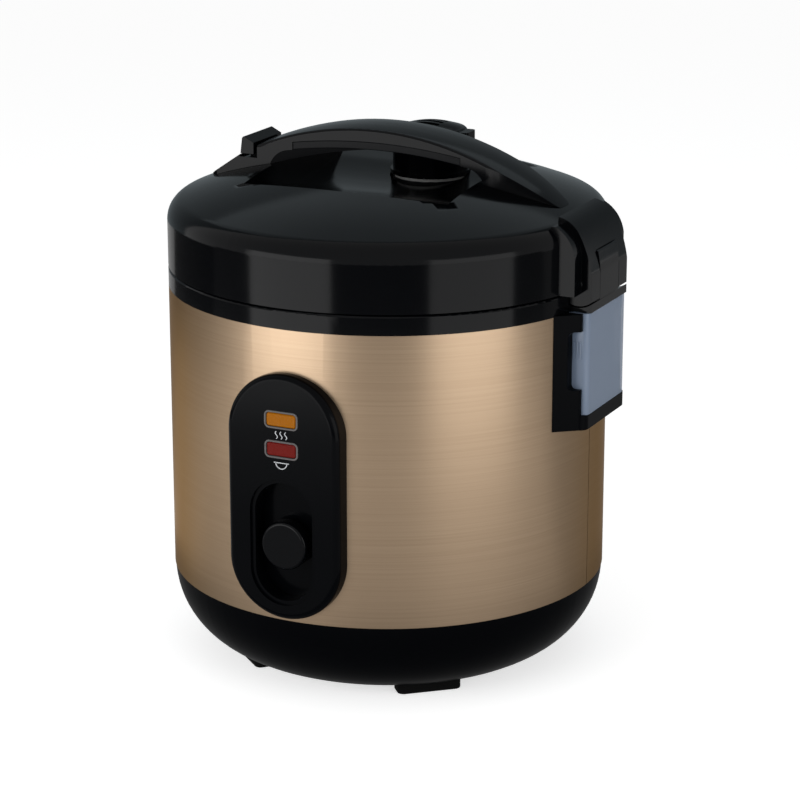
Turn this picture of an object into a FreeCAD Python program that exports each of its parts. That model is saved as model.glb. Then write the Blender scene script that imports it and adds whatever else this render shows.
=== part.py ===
import FreeCAD, Part
import math
import os
import re

import Sketcher
from FreeCAD import Placement, Rotation, Vector

# A jar rice cooker of about one litre: a brushed shell on a bowl-shaped base, a hinged lid with an arched
# carrying handle, and a cup on the hinge side that collects the lid's dew. Millimetres, +Z up, the origin
# on the body's axis at the counter. The control panel faces -Y, the hinge is on +X and the latch on -X.

doc = FreeCAD.newDocument("rice_cooker")
sheet = doc.addObject("Spreadsheet::Sheet", "Sizes")

SIZES = {
    # clearances
    "fit_gap": 0.3,
    "seat_gap": 0.1,
    "pin_play": 0.05,
    "cut_past": 1.0,
    # brushed outer shell, rolled from sheet
    "shell_radius": 115.0,
    "shell_wall": 0.8,
    "shell_bottom": 48.6,
    "shell_height": 152.0,
    "seam_width": 0.5,
    # base bowl, its floor opening, cover and feet
    "bowl_inset": 28.4,
    "base_step": 0.4,
    "base_wall": 2.6,
    "base_lip": 6.0,
    "cover_margin": 2.0,
    "cover_overlap": 9.0,
    "cover_sheet": 1.0,
    "cover_slot_width": 3.0,
    "cover_slot_inner": 22.0,
    "cover_slot_edge": 14.0,
    "cover_screw_set": 5.0,
    "foot_height": 6.5,
    "foot_inset": 3.6,
    "foot_depth": 12.0,
    "foot_width": 34.0,
    "foot_round": 3.5,
    "foot_turn": 41.0,
    # upper rim
    "rim_height": 10.0,
    "rim_skirt": 6.0,
    "rim_wall": 2.4,
    "rim_round": 1.2,
    "rim_ledge": 17.5,
    "rim_seat_depth": 3.4,
    # pot
    "pot_lip": 8.0,
    "pot_wall": 1.6,
    "pot_raise": 24.0,
    "pot_corner": 16.0,
    "pot_base_height": 4.0,
    "pot_bend_height": 13.0,
    "pot_flange": 1.4,
    "pot_play": 1.0,
    # liner and heating parts
    "liner_gap": 3.0,
    "liner_sheet": 0.7,
    "liner_floor": 60.0,
    "liner_opening": 30.0,
    "liner_flange": 4.0,
    "plate_margin": 11.5,
    "plate_thickness": 10.0,
    "plate_hole": 18.0,
    "heater_ring_inset": 24.0,
    "heater_ring_width": 16.0,
    "heater_ring_depth": 6.0,
    "heater_ring_slope": 2.0,
    "terminal_radius": 2.0,
    "terminal_length": 10.0,
    "terminal_spread": 10.0,
    "stand_radius": 4.0,
    "stand_inset": 8.0,
    "warm_band_rise": 42.0,
    "warm_band_height": 22.0,
    "warm_band_thickness": 1.5,
    # magnetic thermostat
    "sensor_radius": 15.0,
    "sensor_wall": 2.0,
    "sensor_skirt": 13.5,
    "ferrite_radius": 7.0,
    "ferrite_height": 7.0,
    "sleeve_radius": 11.0,
    "sleeve_wall": 2.5,
    "sleeve_flange": 3.0,
    "sleeve_height": 9.0,
    "thermo_wire": 1.2,
    "thermo_turns": 4.0,
    "rod_radius": 3.0,
    "magnet_height": 4.0,
    "rod_length": 19.0,
    # cook linkage
    "knob_travel": 8.0,
    "rocker_drop": 12.5,
    "rocker_thickness": 3.0,
    "rocker_width": 8.0,
    "rocker_pivot": 34.0,
    "rocker_boss": 4.0,
    "rocker_inset": 11.0,
    "rocker_pin_radius": 1.5,
    "bracket_sheet": 1.4,
    "bracket_margin": 1.0,
    "switch_length": 20.0,
    "switch_width": 10.0,
    "switch_height": 9.0,
    "switch_offset": 8.0,
    "plunger_radius": 1.5,
    "plunger_height": 1.5,
    "fuse_radius": 2.0,
    "fuse_length": 12.0,
    # control panel, knob and lamps
    "panel_width": 62.0,
    "panel_rise": 2.4,
    "panel_height": 128.0,
    "panel_proud": 6.0,
    "panel_round": 3.5,
    "well_width": 32.0,
    "well_height": 62.0,
    "well_rise": 10.0,
    "well_depth": 11.0,
    "well_wall": 2.0,
    "well_step": 2.2,
    "well_step_depth": 1.4,
    "knob_radius": 12.5,
    "knob_rise": 29.0,
    "knob_thickness": 7.0,
    "knob_inset": 0.5,
    "knob_round": 1.6,
    "neck_width": 8.0,
    "stem_thickness": 4.0,
    "lens_width": 16.5,
    "lens_height": 7.0,
    "lens_depth": 8.0,
    "lens_round": 1.6,
    "lens_proud": 0.4,
    "bezel_width": 1.1,
    "bezel_depth": 3.0,
    "warm_drop": 23.0,
    "lamp_pitch": 15.3,
    "lamp_radius": 2.5,
    "lamp_length": 14.0,
    "holder_leg_in": 10.1,
    "holder_leg_out": 12.9,
    "holder_leg_height": 6.0,
    "holder_round": 2.0,
    "holder_plate": 1.8,
    "panel_screw_reach": 24.0,
    "panel_screw_rise": 27.0,
    "panel_screw_drop": 29.0,
    "screw_radius": 1.5,
    "screw_head": 3.0,
    "screw_head_height": 2.0,
    "screw_bite": 5.0,
    # mains inlet
    "inlet_rise": 27.4,
    "inlet_width": 25.0,
    "inlet_height": 17.0,
    "inlet_depth": 19.0,
    "inlet_wall": 3.0,
    "inlet_bezel": 4.5,
    "inlet_proud": 4.0,
    "inlet_round": 3.0,
    "blade_width": 4.0,
    "blade_thickness": 2.0,
    "blade_length": 13.0,
    "blade_pitch": 7.0,
    "blade_stagger": 2.0,
    # dew collector and its bracket
    "cup_over": 0.7,
    "cup_height": 52.8,
    "cup_half": 25.3,
    "cup_out": 8.5,
    "cup_wall": 1.3,
    "cup_corner": 3.0,
    "cup_back_gap": 0.7,
    "cup_rib": 0.9,
    "cup_rib_proud": 0.5,
    "cup_rib_low": 29.0,
    "cup_rib_length": 9.0,
    "cradle_half": 36.5,
    "cradle_front": 27.8,
    "cradle_side": 13.5,
    "cradle_band": 9.0,
    "cradle_set": 3.0,
    "cradle_window": 8.5,
    "cradle_shelf": 7.5,
    "cradle_corner": 5.0,
    "spout_width": 7.0,
    "spout_offset": 18.5,
    "spout_height": 2.8,
    "spout_wall": 1.0,
    "spout_reach": 1.6,
    # lid shell
    "lid_seam": 0.6,
    "lid_wall": 2.5,
    "lid_rise": 54.8,
    "lid_dome": 300.0,
    "lid_shoulder": 12.0,
    "well_radius": 190.0,
    "well_deep": 20.0,
    "well_centre": 9.4,
    "well_margin": 4.5,
    "lid_boss_radius": 4.0,
    "lid_boss_inset": 11.0,
    "lid_cover_sheet": 2.0,
    "gasket_set": 1.3,
    "gasket_width": 5.2,
    "gasket_rib": 2.0,
    "gasket_lip": 1.6,
    "gasket_lip_in": 1.8,
    "gasket_lip_out": 1.2,
    "inner_plate_margin": 3.8,
    "inner_plate_sheet": 1.0,
    "steam_hole": 2.5,
    "grommet_radius": 8.0,
    "grommet_neck": 4.8,
    "grommet_button": 1.2,
    # lid hinge
    "hinge_out": 2.0,
    "hinge_rise": 5.4,
    "hinge_back": 7.2,
    "barrel_radius": 11.5,
    "barrel_half": 24.0,
    "barrel_play": 0.8,
    "barrel_wall": 4.0,
    "barrel_brow": 25.5,
    "barrel_curve": 62.0,
    "barrel_crest": 33.2,
    "barrel_crest_curve": 16.0,
    "cheek_half": 33.0,
    "cheek_reach": 1.6,
    "cheek_wall": 15.0,
    "cheek_top": 30.0,
    "cheek_set": 9.0,
    "cheek_curve": 20.0,
    "post_half": 12.5,
    "post_lean": 1.4,
    "post_ear": 4.5,
    "post_wall": 2.5,
    "post_sweep": 16.1,
    "hinge_pin_radius": 2.0,
    "torsion_wire": 1.2,
    "torsion_turns": 6.0,
    # latch
    "latch_set": 14.5,
    "latch_depth": 9.06,
    "latch_pin_radius": 1.5,
    "latch_boss": 4.5,
    "latch_half": 8.0,
    "latch_arm": 3.0,
    "hook_gap": 5.0,
    "hook_nose": 3.4,
    "hook_depth": 2.8,
    "hook_play": 0.7,
    "ear_thickness": 3.0,
    "catch_width": 3.1,
    "catch_sheet": 1.5,
    "catch_half": 12.0,
    "button_half": 15.5,
    "button_set": 14.5,
    "button_depth": 8.0,
    "button_round": 1.4,
    "button_low": 52.1,
    "button_high": 61.2,
    "button_lean": 1.0,
    "button_fall": 2.8,
    "arm_inset": 2.0,
    "latch_room": 1.9,
    "latch_recess": 4.0,
    "latch_wire": 0.8,
    "latch_turns": 5.0,
    "hook_shank": 12.0,
    # handle
    "handle_half": 15.5,
    "handle_centre": -2.0,
    "handle_peak_rise": 72.0,
    "handle_sag": 13.94,
    "handle_tip_arc": 350.0,
    "handle_tail_end": 4.0,
    "handle_tip_inset": 14.0,
    "handle_nose": 30.0,
    "handle_end_half": 7.0,
    "handle_crown": 0.8,
    "crown_room": 8.0,
    "handle_edge": 1.5,
    "grip_centre": 0.0,
    "grip_arc": 300.0,
    "grip_drop": 11.5,
    "grip_inset": 7.0,
    "leg_in": 12.0,
    "leg_drop": 11.0,
    "leg_curve": 13.0,
    "insert_inset": 14.0,
    "insert_thickness": 4.0,
    "handle_skirt": 21.5,
    "tail_drop": 15.6,
    "notch_level": 50.4,
    "notch_lip": 51.6,
    "notch_margin": 2.0,
    "tip_drop": 15.7,
    "plan_curve": 110.0,
    "handle_screw_side": 10.8,
    "handle_screw_nose": 22.0,
    "handle_screw_inset": 23.0,
    "handle_screw_top": 47.8,
    # steam vent
    "vent_offset": 3.0,
    "vent_back": 45.0,
    "vent_radius": 20.0,
    "vent_ring": 1.3,
    "vent_ring_height": 2.2,
    "vent_height": 27.3,
    "vent_dome": 3.0,
    "vent_round": 3.0,
    "vent_wall": 2.5,
    "vent_slot_width": 3.0,
    "vent_slot_length": 15.0,
    "vent_skirt": 13.4,
    "vent_skirt_depth": 12.0,
    "vent_tab_reach": 4.0,
    "vent_tab_half": 6.0,
    "vent_tab_height": 7.0,
    "vent_seat_wall": 2.5,
    "vent_flange": 1.6,
    "vent_tube_wall": 2.4,
    "vent_roof": 2.0,
    "vent_seal": 1.6,
    "vent_seal_inset": 1.0,
}
# radii, reaches and levels that follow from the sizes, each tied to the piece that carries it
PLACES = {
    "bowl_floor": "shell_radius - bowl_inset",
    "foot_outer": "bowl_floor - foot_inset",
    "base_opening": "foot_outer - foot_depth - cover_margin - cover_overlap",
    "cover_screw_circle": "base_opening + cover_screw_set",
    "cover_slot_outer": "base_opening - cover_slot_edge",
    "rim_seat_radius": "shell_radius - rim_ledge",
    "pot_radius": "rim_seat_radius - pot_lip",
    "pot_floor": "liner_floor + pot_raise",
    "plate_radius": "pot_radius - plate_margin",
    "heater_ring_radius": "plate_radius - heater_ring_inset",
    "stand_circle": "plate_radius - stand_inset",
    "warm_band_bottom": "pot_floor + warm_band_rise",
    "rocker_level": "liner_floor - rocker_drop",
    "rocker_front": "shell_radius - rocker_inset",
    "panel_bottom": "shell_bottom + panel_rise",
    "well_bottom": "panel_bottom + well_rise",
    "knob_level": "well_bottom + knob_rise",
    "warm_level": "panel_bottom + panel_height - warm_drop",
    "cook_level": "warm_level - lamp_pitch",
    "panel_screw_low": "panel_bottom + panel_screw_rise",
    "panel_screw_high": "panel_bottom + panel_height - panel_screw_drop",
    "inlet_level": "shell_bottom + inlet_rise",
    "cup_bottom": "shell_bottom + shell_height + cup_over - cup_height",
    "cup_face": "shell_radius + cup_out",
    "cradle_reach": "cup_face - cradle_window",
    "well_floor": "shell_bottom + shell_height + rim_height + lid_seam + lid_rise - well_deep",
    "lid_boss_circle": "shell_radius - lid_boss_inset",
    "gasket_inner": "pot_radius + gasket_set",
    "inner_plate_radius": "gasket_inner - inner_plate_margin",
    "hinge_reach": "shell_radius + hinge_out",
    "catch_edge": "rim_seat_radius + rim_wall + catch_width",
    "hook_reach": "catch_edge + hook_gap",
    "latch_pivot_reach": "hook_reach - latch_set",
    "button_outer": "latch_pivot_reach - button_set",
    "button_inner": "button_outer - button_depth",
    "notch_end": "button_inner - notch_margin",
    "handle_arc": "((notch_end + handle_centre)^2 + handle_sag^2) / (2 * handle_sag)",
    "handle_tail": "latch_pivot_reach + handle_tail_end",
    "handle_tip": "shell_radius - handle_tip_inset",
    "handle_shoulder": "handle_tip - handle_nose",
    "grip_foot": "notch_end - grip_inset",
    "well_half": "grip_foot - well_margin",
    "insert_half": "grip_foot - insert_inset",
    "handle_screw_front": "handle_tip - handle_screw_nose",
    "handle_screw_tail": "latch_pivot_reach - handle_screw_inset",
}
for row, (name, entry) in enumerate([*SIZES.items(), *PLACES.items()], start=1):
    sheet.set(f"A{row}", name)
    sheet.set(f"B{row}", str(entry) if name in SIZES else "=" + entry)
    sheet.setAlias(f"B{row}", name)
doc.recompute()


def bound(text):
    """The expression with every size in it read from the sheet."""
    names = {*SIZES, *PLACES}
    return re.sub(r"[a-z][a-z_]*", lambda word: "Sizes." + word[0] if word[0] in names else word[0], text)


def value(text):
    return float(sheet.evalExpression(bound(text)))


def circle(x, y, radius):
    return [(x, y, radius)]


def rectangle(left, right, low, high):
    return [(left, low), (right, low), (right, high), (left, high)]


def rounded(left, right, low, high, corner):
    """A rectangle with its corners rounded off."""
    return [
        (left, f"{low} + {corner}"),
        (f"{left} + {corner}", low, corner, "left"),
        (f"{right} - ({corner})", low),
        (right, f"{low} + {corner}", corner, "left"),
        (right, f"{high} - ({corner})"),
        (f"{right} - ({corner})", high, corner, "left"),
        (f"{left} + {corner}", high),
        (left, f"{high} - ({corner})", corner, "left"),
    ]


def stadium(half, low, high):
    """An upright slot with round ends, centred on x = 0."""
    return [
        (f"-({half})", f"{low} + {half}"),
        ("0", low, half, "left"),
        (half, f"{low} + {half}", half, "left"),
        (half, f"{high} - ({half})"),
        ("0", high, half, "left"),
        (f"-({half})", f"{high} - ({half})", half, "left"),
    ]


def arc_between(start, end, radius, side):
    """The shorter arc from start to end, turning to the given side."""
    chord = end - start
    half = chord.Length / 2
    turn = 1 if side == "left" else -1
    left = Vector(-chord.y, chord.x, 0).normalize()
    centre = (start + end) / 2 + left * turn * math.sqrt(max(radius * radius - half * half, 0))
    first, last = (start, end) if turn > 0 else (end, start)
    angles = [math.atan2(p.y - centre.y, p.x - centre.x) for p in (first, last)]
    if angles[1] < angles[0]:
        angles[1] += 2 * math.pi
    return Part.ArcOfCircle(Part.Circle(centre, Vector(0, 0, 1), radius), *angles)


def trace(sketch, corners):
    """Adds a closed outline whose corners and radii are bound to the sheet.

    A corner (x, y) is reached by a straight line, and (x, y, radius, side) by an arc that turns to that
    side. An outline of one (x, y, radius) is a circle.
    """
    first = sketch.GeometryCount
    count = len(corners)
    expressions = []
    constraints = []

    def hold(kind, where, text):
        expressions.append(text)
        constraints.append(Sketcher.Constraint(kind, *where, value(text)))

    if count == 1:
        x, y, radius = corners[0]
        centre = Vector(value(x), value(y), 0)
        sketch.addGeometry(Part.Circle(centre, Vector(0, 0, 1), value(radius)), False)
        hold("DistanceX", (-1, 1, first, 3), x)
        hold("DistanceY", (-1, 1, first, 3), y)
        hold("Radius", (first,), radius)
    else:
        points = [Vector(value(corner[0]), value(corner[1]), 0) for corner in corners]
        ends = []
        for index, corner in enumerate(corners):
            start, end = points[index - 1], points[index]
            if len(corner) == 2:
                sketch.addGeometry(Part.LineSegment(start, end), False)
                ends.append((1, 2))
            else:
                radius, side = corner[2:]
                sketch.addGeometry(arc_between(start, end, value(radius), side), False)
                ends.append((1, 2) if side == "left" else (2, 1))
        joins = []
        for index, corner in enumerate(corners):
            after = (index + 1) % count
            joins.append(
                Sketcher.Constraint("Coincident", first + index, ends[index][1], first + after,
                                    ends[after][0])
            )
            hold("DistanceX", (-1, 1, first + index, ends[index][1]), corner[0])
            hold("DistanceY", (-1, 1, first + index, ends[index][1]), corner[1])
            if len(corner) > 2:
                hold("Radius", (first + index,), corner[2])
        sketch.addConstraint(joins)
    start_index = sketch.ConstraintCount
    sketch.addConstraint(constraints)
    for offset, text in enumerate(expressions):
        sketch.setExpression(f"Constraints[{start_index + offset}]", bound(text))


def draw(body, name, plane, outlines, offset="0"):
    """A sketch on one of the body's own planes, moved along that plane's normal."""
    sketch = body.newObject("Sketcher::SketchObject", name)
    support = next(feature for feature in body.Origin.OriginFeatures if feature.Role == plane + "_Plane")
    sketch.AttachmentSupport = (support, [""])
    sketch.MapMode = "FlatFace"
    sketch.setExpression("AttachmentOffset.Base.z", bound(offset))
    for outline in outlines:
        trace(sketch, outline)
    return sketch


def new_body(label, x="0", y="0"):
    """A body whose upright axis stands at (x, y)."""
    body = doc.addObject("PartDesign::Body", label)
    body.Label = label
    body.setExpression("Placement.Base.x", bound(x))
    body.setExpression("Placement.Base.y", bound(y))
    return body


def turn(body, name, corners, kind="Revolution"):
    """Turns an outline of (radius, height) corners about the body's axis."""
    sketch = draw(body, name + "_profile", "XZ", [corners])
    feature = body.newObject("PartDesign::" + kind, name)
    feature.Profile = sketch
    feature.ReferenceAxis = (sketch, ["V_Axis"])
    feature.Angle = 360
    return feature


def pad(body, name, plane, outlines, low, high):
    """Adds the outlines between two places along the axis square to the plane."""
    start = f"-({high})" if plane == "XZ" else low
    sketch = draw(body, name + "_sketch", plane, outlines, start)
    feature = body.newObject("PartDesign::Pad", name)
    feature.Profile = sketch
    feature.setExpression("Length", bound(f"({high}) - ({low})"))
    return feature


def pocket(body, name, plane, outlines, low, high):
    """Cuts the outlines between two places along the axis square to the plane."""
    start = f"-({low})" if plane == "XZ" else high
    sketch = draw(body, name + "_sketch", plane, outlines, start)
    feature = body.newObject("PartDesign::Pocket", name)
    feature.Profile = sketch
    feature.setExpression("Length", bound(f"({high}) - ({low})"))
    return feature


def repeat_round(body, name, features, count):
    """Repeats features of flat sketches evenly about the body's axis."""
    pattern = body.newObject("PartDesign::PolarPattern", name)
    pattern.Originals = features
    pattern.Axis = (features[0].Profile[0], ["N_Axis"])
    pattern.Angle = 360
    pattern.Occurrences = count
    body.Tip = pattern
    return pattern


def soften(body, name, feature, radius, chosen):
    """Rounds the feature's edges that the test picks."""
    doc.recompute()
    edges = [f"Edge{index + 1}" for index, edge in enumerate(feature.Shape.Edges) if chosen(edge)]
    fillet = body.newObject("PartDesign::Fillet", name)
    fillet.Base = (feature, edges)
    fillet.setExpression("Radius", bound(radius))
    return fillet


def boolean(kind, label, base, tool):
    result = doc.addObject("Part::" + kind, label)
    result.Label = label
    result.Base = base
    result.Tool = tool
    return result


def turned(label, corners, x="0", y="0"):
    body = new_body(label, x, y)
    turn(body, label + "_turned", corners)
    return body


def tangent_arc(start, along, end):
    """The arc from start to end that leaves start in the direction along."""
    chord = end - start
    unit = Vector(chord).normalize()
    side = along - unit * along.dot(unit)
    if side.Length < 1e-9:
        return Part.LineSegment(start, end).toShape()
    angle = along.getAngle(chord)
    middle = start + chord / 2 + side.normalize() * (chord.Length / 2 * math.tan(angle / 2))
    return Part.Arc(start, middle, end).toShape()


def coil(label, wire, mean_radius, length, turns, place):
    """A coil spring about +Z from z = 0, drawn as quarter turns of two tangent arcs each."""
    steps = round(turns * 4)
    rise = (length - wire) / steps

    def at(step):
        angle = step * math.pi / 2
        point = Vector(mean_radius * math.cos(angle), mean_radius * math.sin(angle), wire / 2 + rise * step)
        along = Vector(-math.sin(angle), math.cos(angle), rise / (mean_radius * math.pi / 2)).normalize()
        return point, along

    edges = []
    point, along = at(0)
    edges.append(Part.LineSegment(point - along * wire, point).toShape())
    for step in range(steps):
        start, start_along = at(step)
        end, end_along = at(step + 1)
        gap = end - start
        both = start_along + end_along
        bend = 2 * (1 - start_along.dot(end_along))
        reach = (-gap.dot(both) + math.sqrt(gap.dot(both) ** 2 + bend * gap.dot(gap))) / bend
        middle = (start + end + (start_along - end_along) * reach) / 2
        middle_along = (middle - (start + start_along * reach)).normalize()
        edges.append(tangent_arc(start, start_along, middle))
        edges.append(tangent_arc(middle, middle_along, end))
    point, along = at(steps)
    edges.append(Part.LineSegment(point, point + along * wire).toShape())
    path = Part.Wire(edges)
    first = edges[0].Vertexes[0].Point
    section = Part.Wire(Part.Circle(first, at(0)[1], wire / 2).toShape())
    tube = path.makePipeShell([section], True, False)
    spring = doc.addObject("Part::Feature", label)
    spring.Label = label
    spring.Shape = tube if tube.ShapeType == "Solid" else Part.Solid(Part.Shell(tube.Faces))
    spring.Placement = place
    per_turn = 48
    points = path.discretize(Number=round(turns * per_turn))
    self_gap = min((points[j] - points[i]).Length for i in range(len(points))
                   for j in range(i + per_turn // 2, len(points))) - wire
    print(f"{label}: least gap between turns {self_gap:.2f} mm, tube volume {tube.Volume:.1f} mm3")
    return spring


# heights and radii that several pieces share
SHELL_TOP = "(shell_bottom + shell_height)"
SHELL_INSIDE = "(shell_radius - shell_wall)"
RIM_TOP = f"({SHELL_TOP} + rim_height)"
LID_BOTTOM = f"({RIM_TOP} + lid_seam)"
LID_APEX = f"({LID_BOTTOM} + lid_rise)"
POT_SEAT = f"({RIM_TOP} - rim_seat_depth)"
LEDGE_UNDERSIDE = f"({POT_SEAT} - rim_wall)"
LINER_INSIDE = "(pot_radius + liner_gap)"
LINER_OUTSIDE = f"({LINER_INSIDE} + liner_sheet)"
HINGE_LEVEL = f"({RIM_TOP} + hinge_rise)"
TROUGH = "(barrel_radius + barrel_play)"
COVER_LOW = f"({LID_BOTTOM} + seat_gap + lid_seam)"
COVER_TOP = f"({COVER_LOW} + lid_cover_sheet)"
PANEL_FACE = "(shell_radius + panel_proud)"
CUP_TOP = "(cup_bottom + cup_height)"
SPOUT_END = "(shell_radius + spout_reach)"
LATCH_X = "(-latch_pivot_reach)"
LATCH_Z = f"({LID_APEX} - lid_dome + sqrt(lid_dome^2 - latch_pivot_reach^2) - latch_depth)"
NOTCH_FLOOR = f"({LID_BOTTOM} + notch_level)"
ARM_TOP = "(button_outer - arm_inset)"
ARM_BEND = f"({NOTCH_FLOOR} - arm_inset)"

pieces = {}


def keep(piece):
    pieces[piece.Label] = piece
    return piece


def dome_outline(inset, bottom):
    """The lid's outside, or its inside at the given inset: wall, round shoulder and shallow dome."""
    centre = f"({LID_APEX} - lid_dome)"
    wall = f"(shell_radius - ({inset}))"
    round_ = f"(lid_shoulder - ({inset}))"
    dome = f"(lid_dome - ({inset}))"
    rise = f"sqrt(({dome} - {round_})^2 - ({wall} - {round_})^2)"
    share = f"{dome} / ({dome} - {round_})"
    return [
        ("0", bottom),
        (wall, bottom),
        (wall, f"{centre} + {rise}"),
        (f"({wall} - {round_}) * {share}", f"{centre} + {rise} * {share}", round_, "left"),
        ("0", f"{centre} + {dome}", dome, "left"),
    ]


def foot_outline(x_side, y_side):
    """A foot in plan, square to the line from the axis to its middle, in one of the four quarters."""
    block = rounded("-(foot_width / 2)", "foot_width / 2", "(foot_outer - foot_depth)", "foot_outer",
                    "foot_round")
    outline = []
    for across, out, *arc in block:
        x = f"{x_side}(({out}) * sin(foot_turn * 1 deg) + ({across}) * cos(foot_turn * 1 deg))"
        y = f"{y_side}(({out}) * cos(foot_turn * 1 deg) - ({across}) * sin(foot_turn * 1 deg))"
        bend = "left" if x_side == y_side else "right"
        outline.append((x, y, arc[0], bend) if arc else (x, y))
    return outline


def make_base():
    """The bowl under the shell, with the lip that the shell slips over and a flange round its opening."""
    depth = "(shell_bottom - foot_height)"
    spread = "(shell_radius - base_step - bowl_floor)"
    curve = f"(({depth}^2 + {spread}^2) / (2 * {spread}))"
    centre = f"(shell_radius - base_step - {curve})"
    inner = f"({curve} - base_wall)"
    floor = "(foot_height + base_wall)"
    inner_top = "shell_radius - base_step - base_wall"
    base = turned("base_housing", [
        ("base_opening", "foot_height"),
        ("bowl_floor", "foot_height"),
        ("shell_radius - base_step", "shell_bottom", curve, "left"),
        (f"{SHELL_INSIDE} - fit_gap", "shell_bottom"),
        (f"{SHELL_INSIDE} - fit_gap", "shell_bottom + base_lip"),
        (inner_top, "shell_bottom + base_lip"),
        (inner_top, "shell_bottom"),
        (f"{centre} + sqrt({inner}^2 - (shell_bottom - {floor})^2)", floor, inner, "right"),
        ("base_opening", floor),
    ])
    boss = pad(base, "cover_boss", "XY", [circle("cover_screw_circle", "0", "screw_radius * 2.4")],
               floor, f"{floor} + screw_bite")
    repeat_round(base, "cover_bosses", [boss], 4)
    hole = pocket(base, "cover_hole", "XY", [circle("cover_screw_circle", "0", "screw_radius + seat_gap")],
                  "foot_height", f"{floor} + screw_bite")
    repeat_round(base, "cover_holes", [hole], 4)
    keep(base)

    feet = new_body("feet")
    pad(feet, "foot", "XY", [foot_outline(x, y) for x in "+-" for y in "+-"], "0", "foot_height")
    keep(feet)

    cover = new_body("bottom_cover")
    pad(cover, "cover_disc", "XY", [circle("0", "0", "base_opening + cover_overlap")],
        "foot_height - cover_sheet", "foot_height")
    slot = pocket(cover, "cover_slot", "XY", [
        rounded("cover_slot_inner", "cover_slot_outer", "-(cover_slot_width / 2)", "cover_slot_width / 2",
                "cover_slot_width * 0.4"),
    ], "foot_height - cover_sheet", "foot_height")
    repeat_round(cover, "cover_slots", [slot], 12)
    hole = pocket(cover, "screw_hole", "XY", [circle("cover_screw_circle", "0", "screw_radius + seat_gap")],
                  "foot_height - cover_sheet", "foot_height")
    repeat_round(cover, "screw_holes", [hole], 4)
    keep(cover)

    screws = new_body("cover_screws")
    shank = pad(screws, "shank", "XY", [circle("cover_screw_circle", "0", "screw_radius")],
                "foot_height - cover_sheet", "foot_height + base_wall + screw_bite")
    repeat_round(screws, "shanks", [shank], 4)
    head = pad(screws, "head", "XY", [circle("cover_screw_circle", "0", "screw_head")],
               "foot_height - cover_sheet - screw_head_height", "foot_height - cover_sheet")
    repeat_round(screws, "heads", [head], 4)
    keep(screws)


def panel_opening(margin):
    """The upright slot in the shell behind the panel."""
    half = f"(well_width / 2 + well_wall + {margin})"
    return stadium(half, f"(well_bottom - well_wall - {margin})",
                   f"(panel_bottom + panel_height - panel_width / 2 + {half})")


def panel_screw_places():
    return [(side + "panel_screw_reach", level) for side in ("", "-")
            for level in ("panel_screw_low", "panel_screw_high")]


def make_shell():
    """Sheet rolled to a cylinder, with a slit seam on the hinge side and openings front and back."""
    shell = turned("outer_shell", [
        (SHELL_INSIDE, "shell_bottom"),
        ("shell_radius", "shell_bottom"),
        ("shell_radius", SHELL_TOP),
        (SHELL_INSIDE, SHELL_TOP),
    ])
    pocket(shell, "panel_slot", "XZ", [panel_opening("fit_gap * 4")], "-shell_radius - cut_past",
           "-shell_radius * 0.6")
    holes = [circle(x, z, "screw_radius + seat_gap") for x, z in panel_screw_places()]
    pocket(shell, "panel_holes", "XZ", holes, "-shell_radius - cut_past", "-shell_radius * 0.6")
    pocket(shell, "inlet_hole", "XZ", [inlet_box("inlet_wall + fit_gap")], "shell_radius * 0.6",
           "shell_radius + cut_past")
    pocket(shell, "seam", "YZ", [rectangle("-(seam_width / 2)", "seam_width / 2", "shell_bottom - cut_past",
                                           f"{SHELL_TOP} + cut_past")], "shell_radius * 0.6",
           "shell_radius + cut_past")
    keep(shell)


def inlet_box(grow):
    """The inlet's opening, grown on every side."""
    return rounded(f"-(inlet_width / 2 + {grow})", f"(inlet_width / 2 + {grow})",
                   f"(inlet_level - inlet_height / 2 - ({grow}))",
                   f"(inlet_level + inlet_height / 2 + {grow})",
                   "inlet_round")


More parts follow.
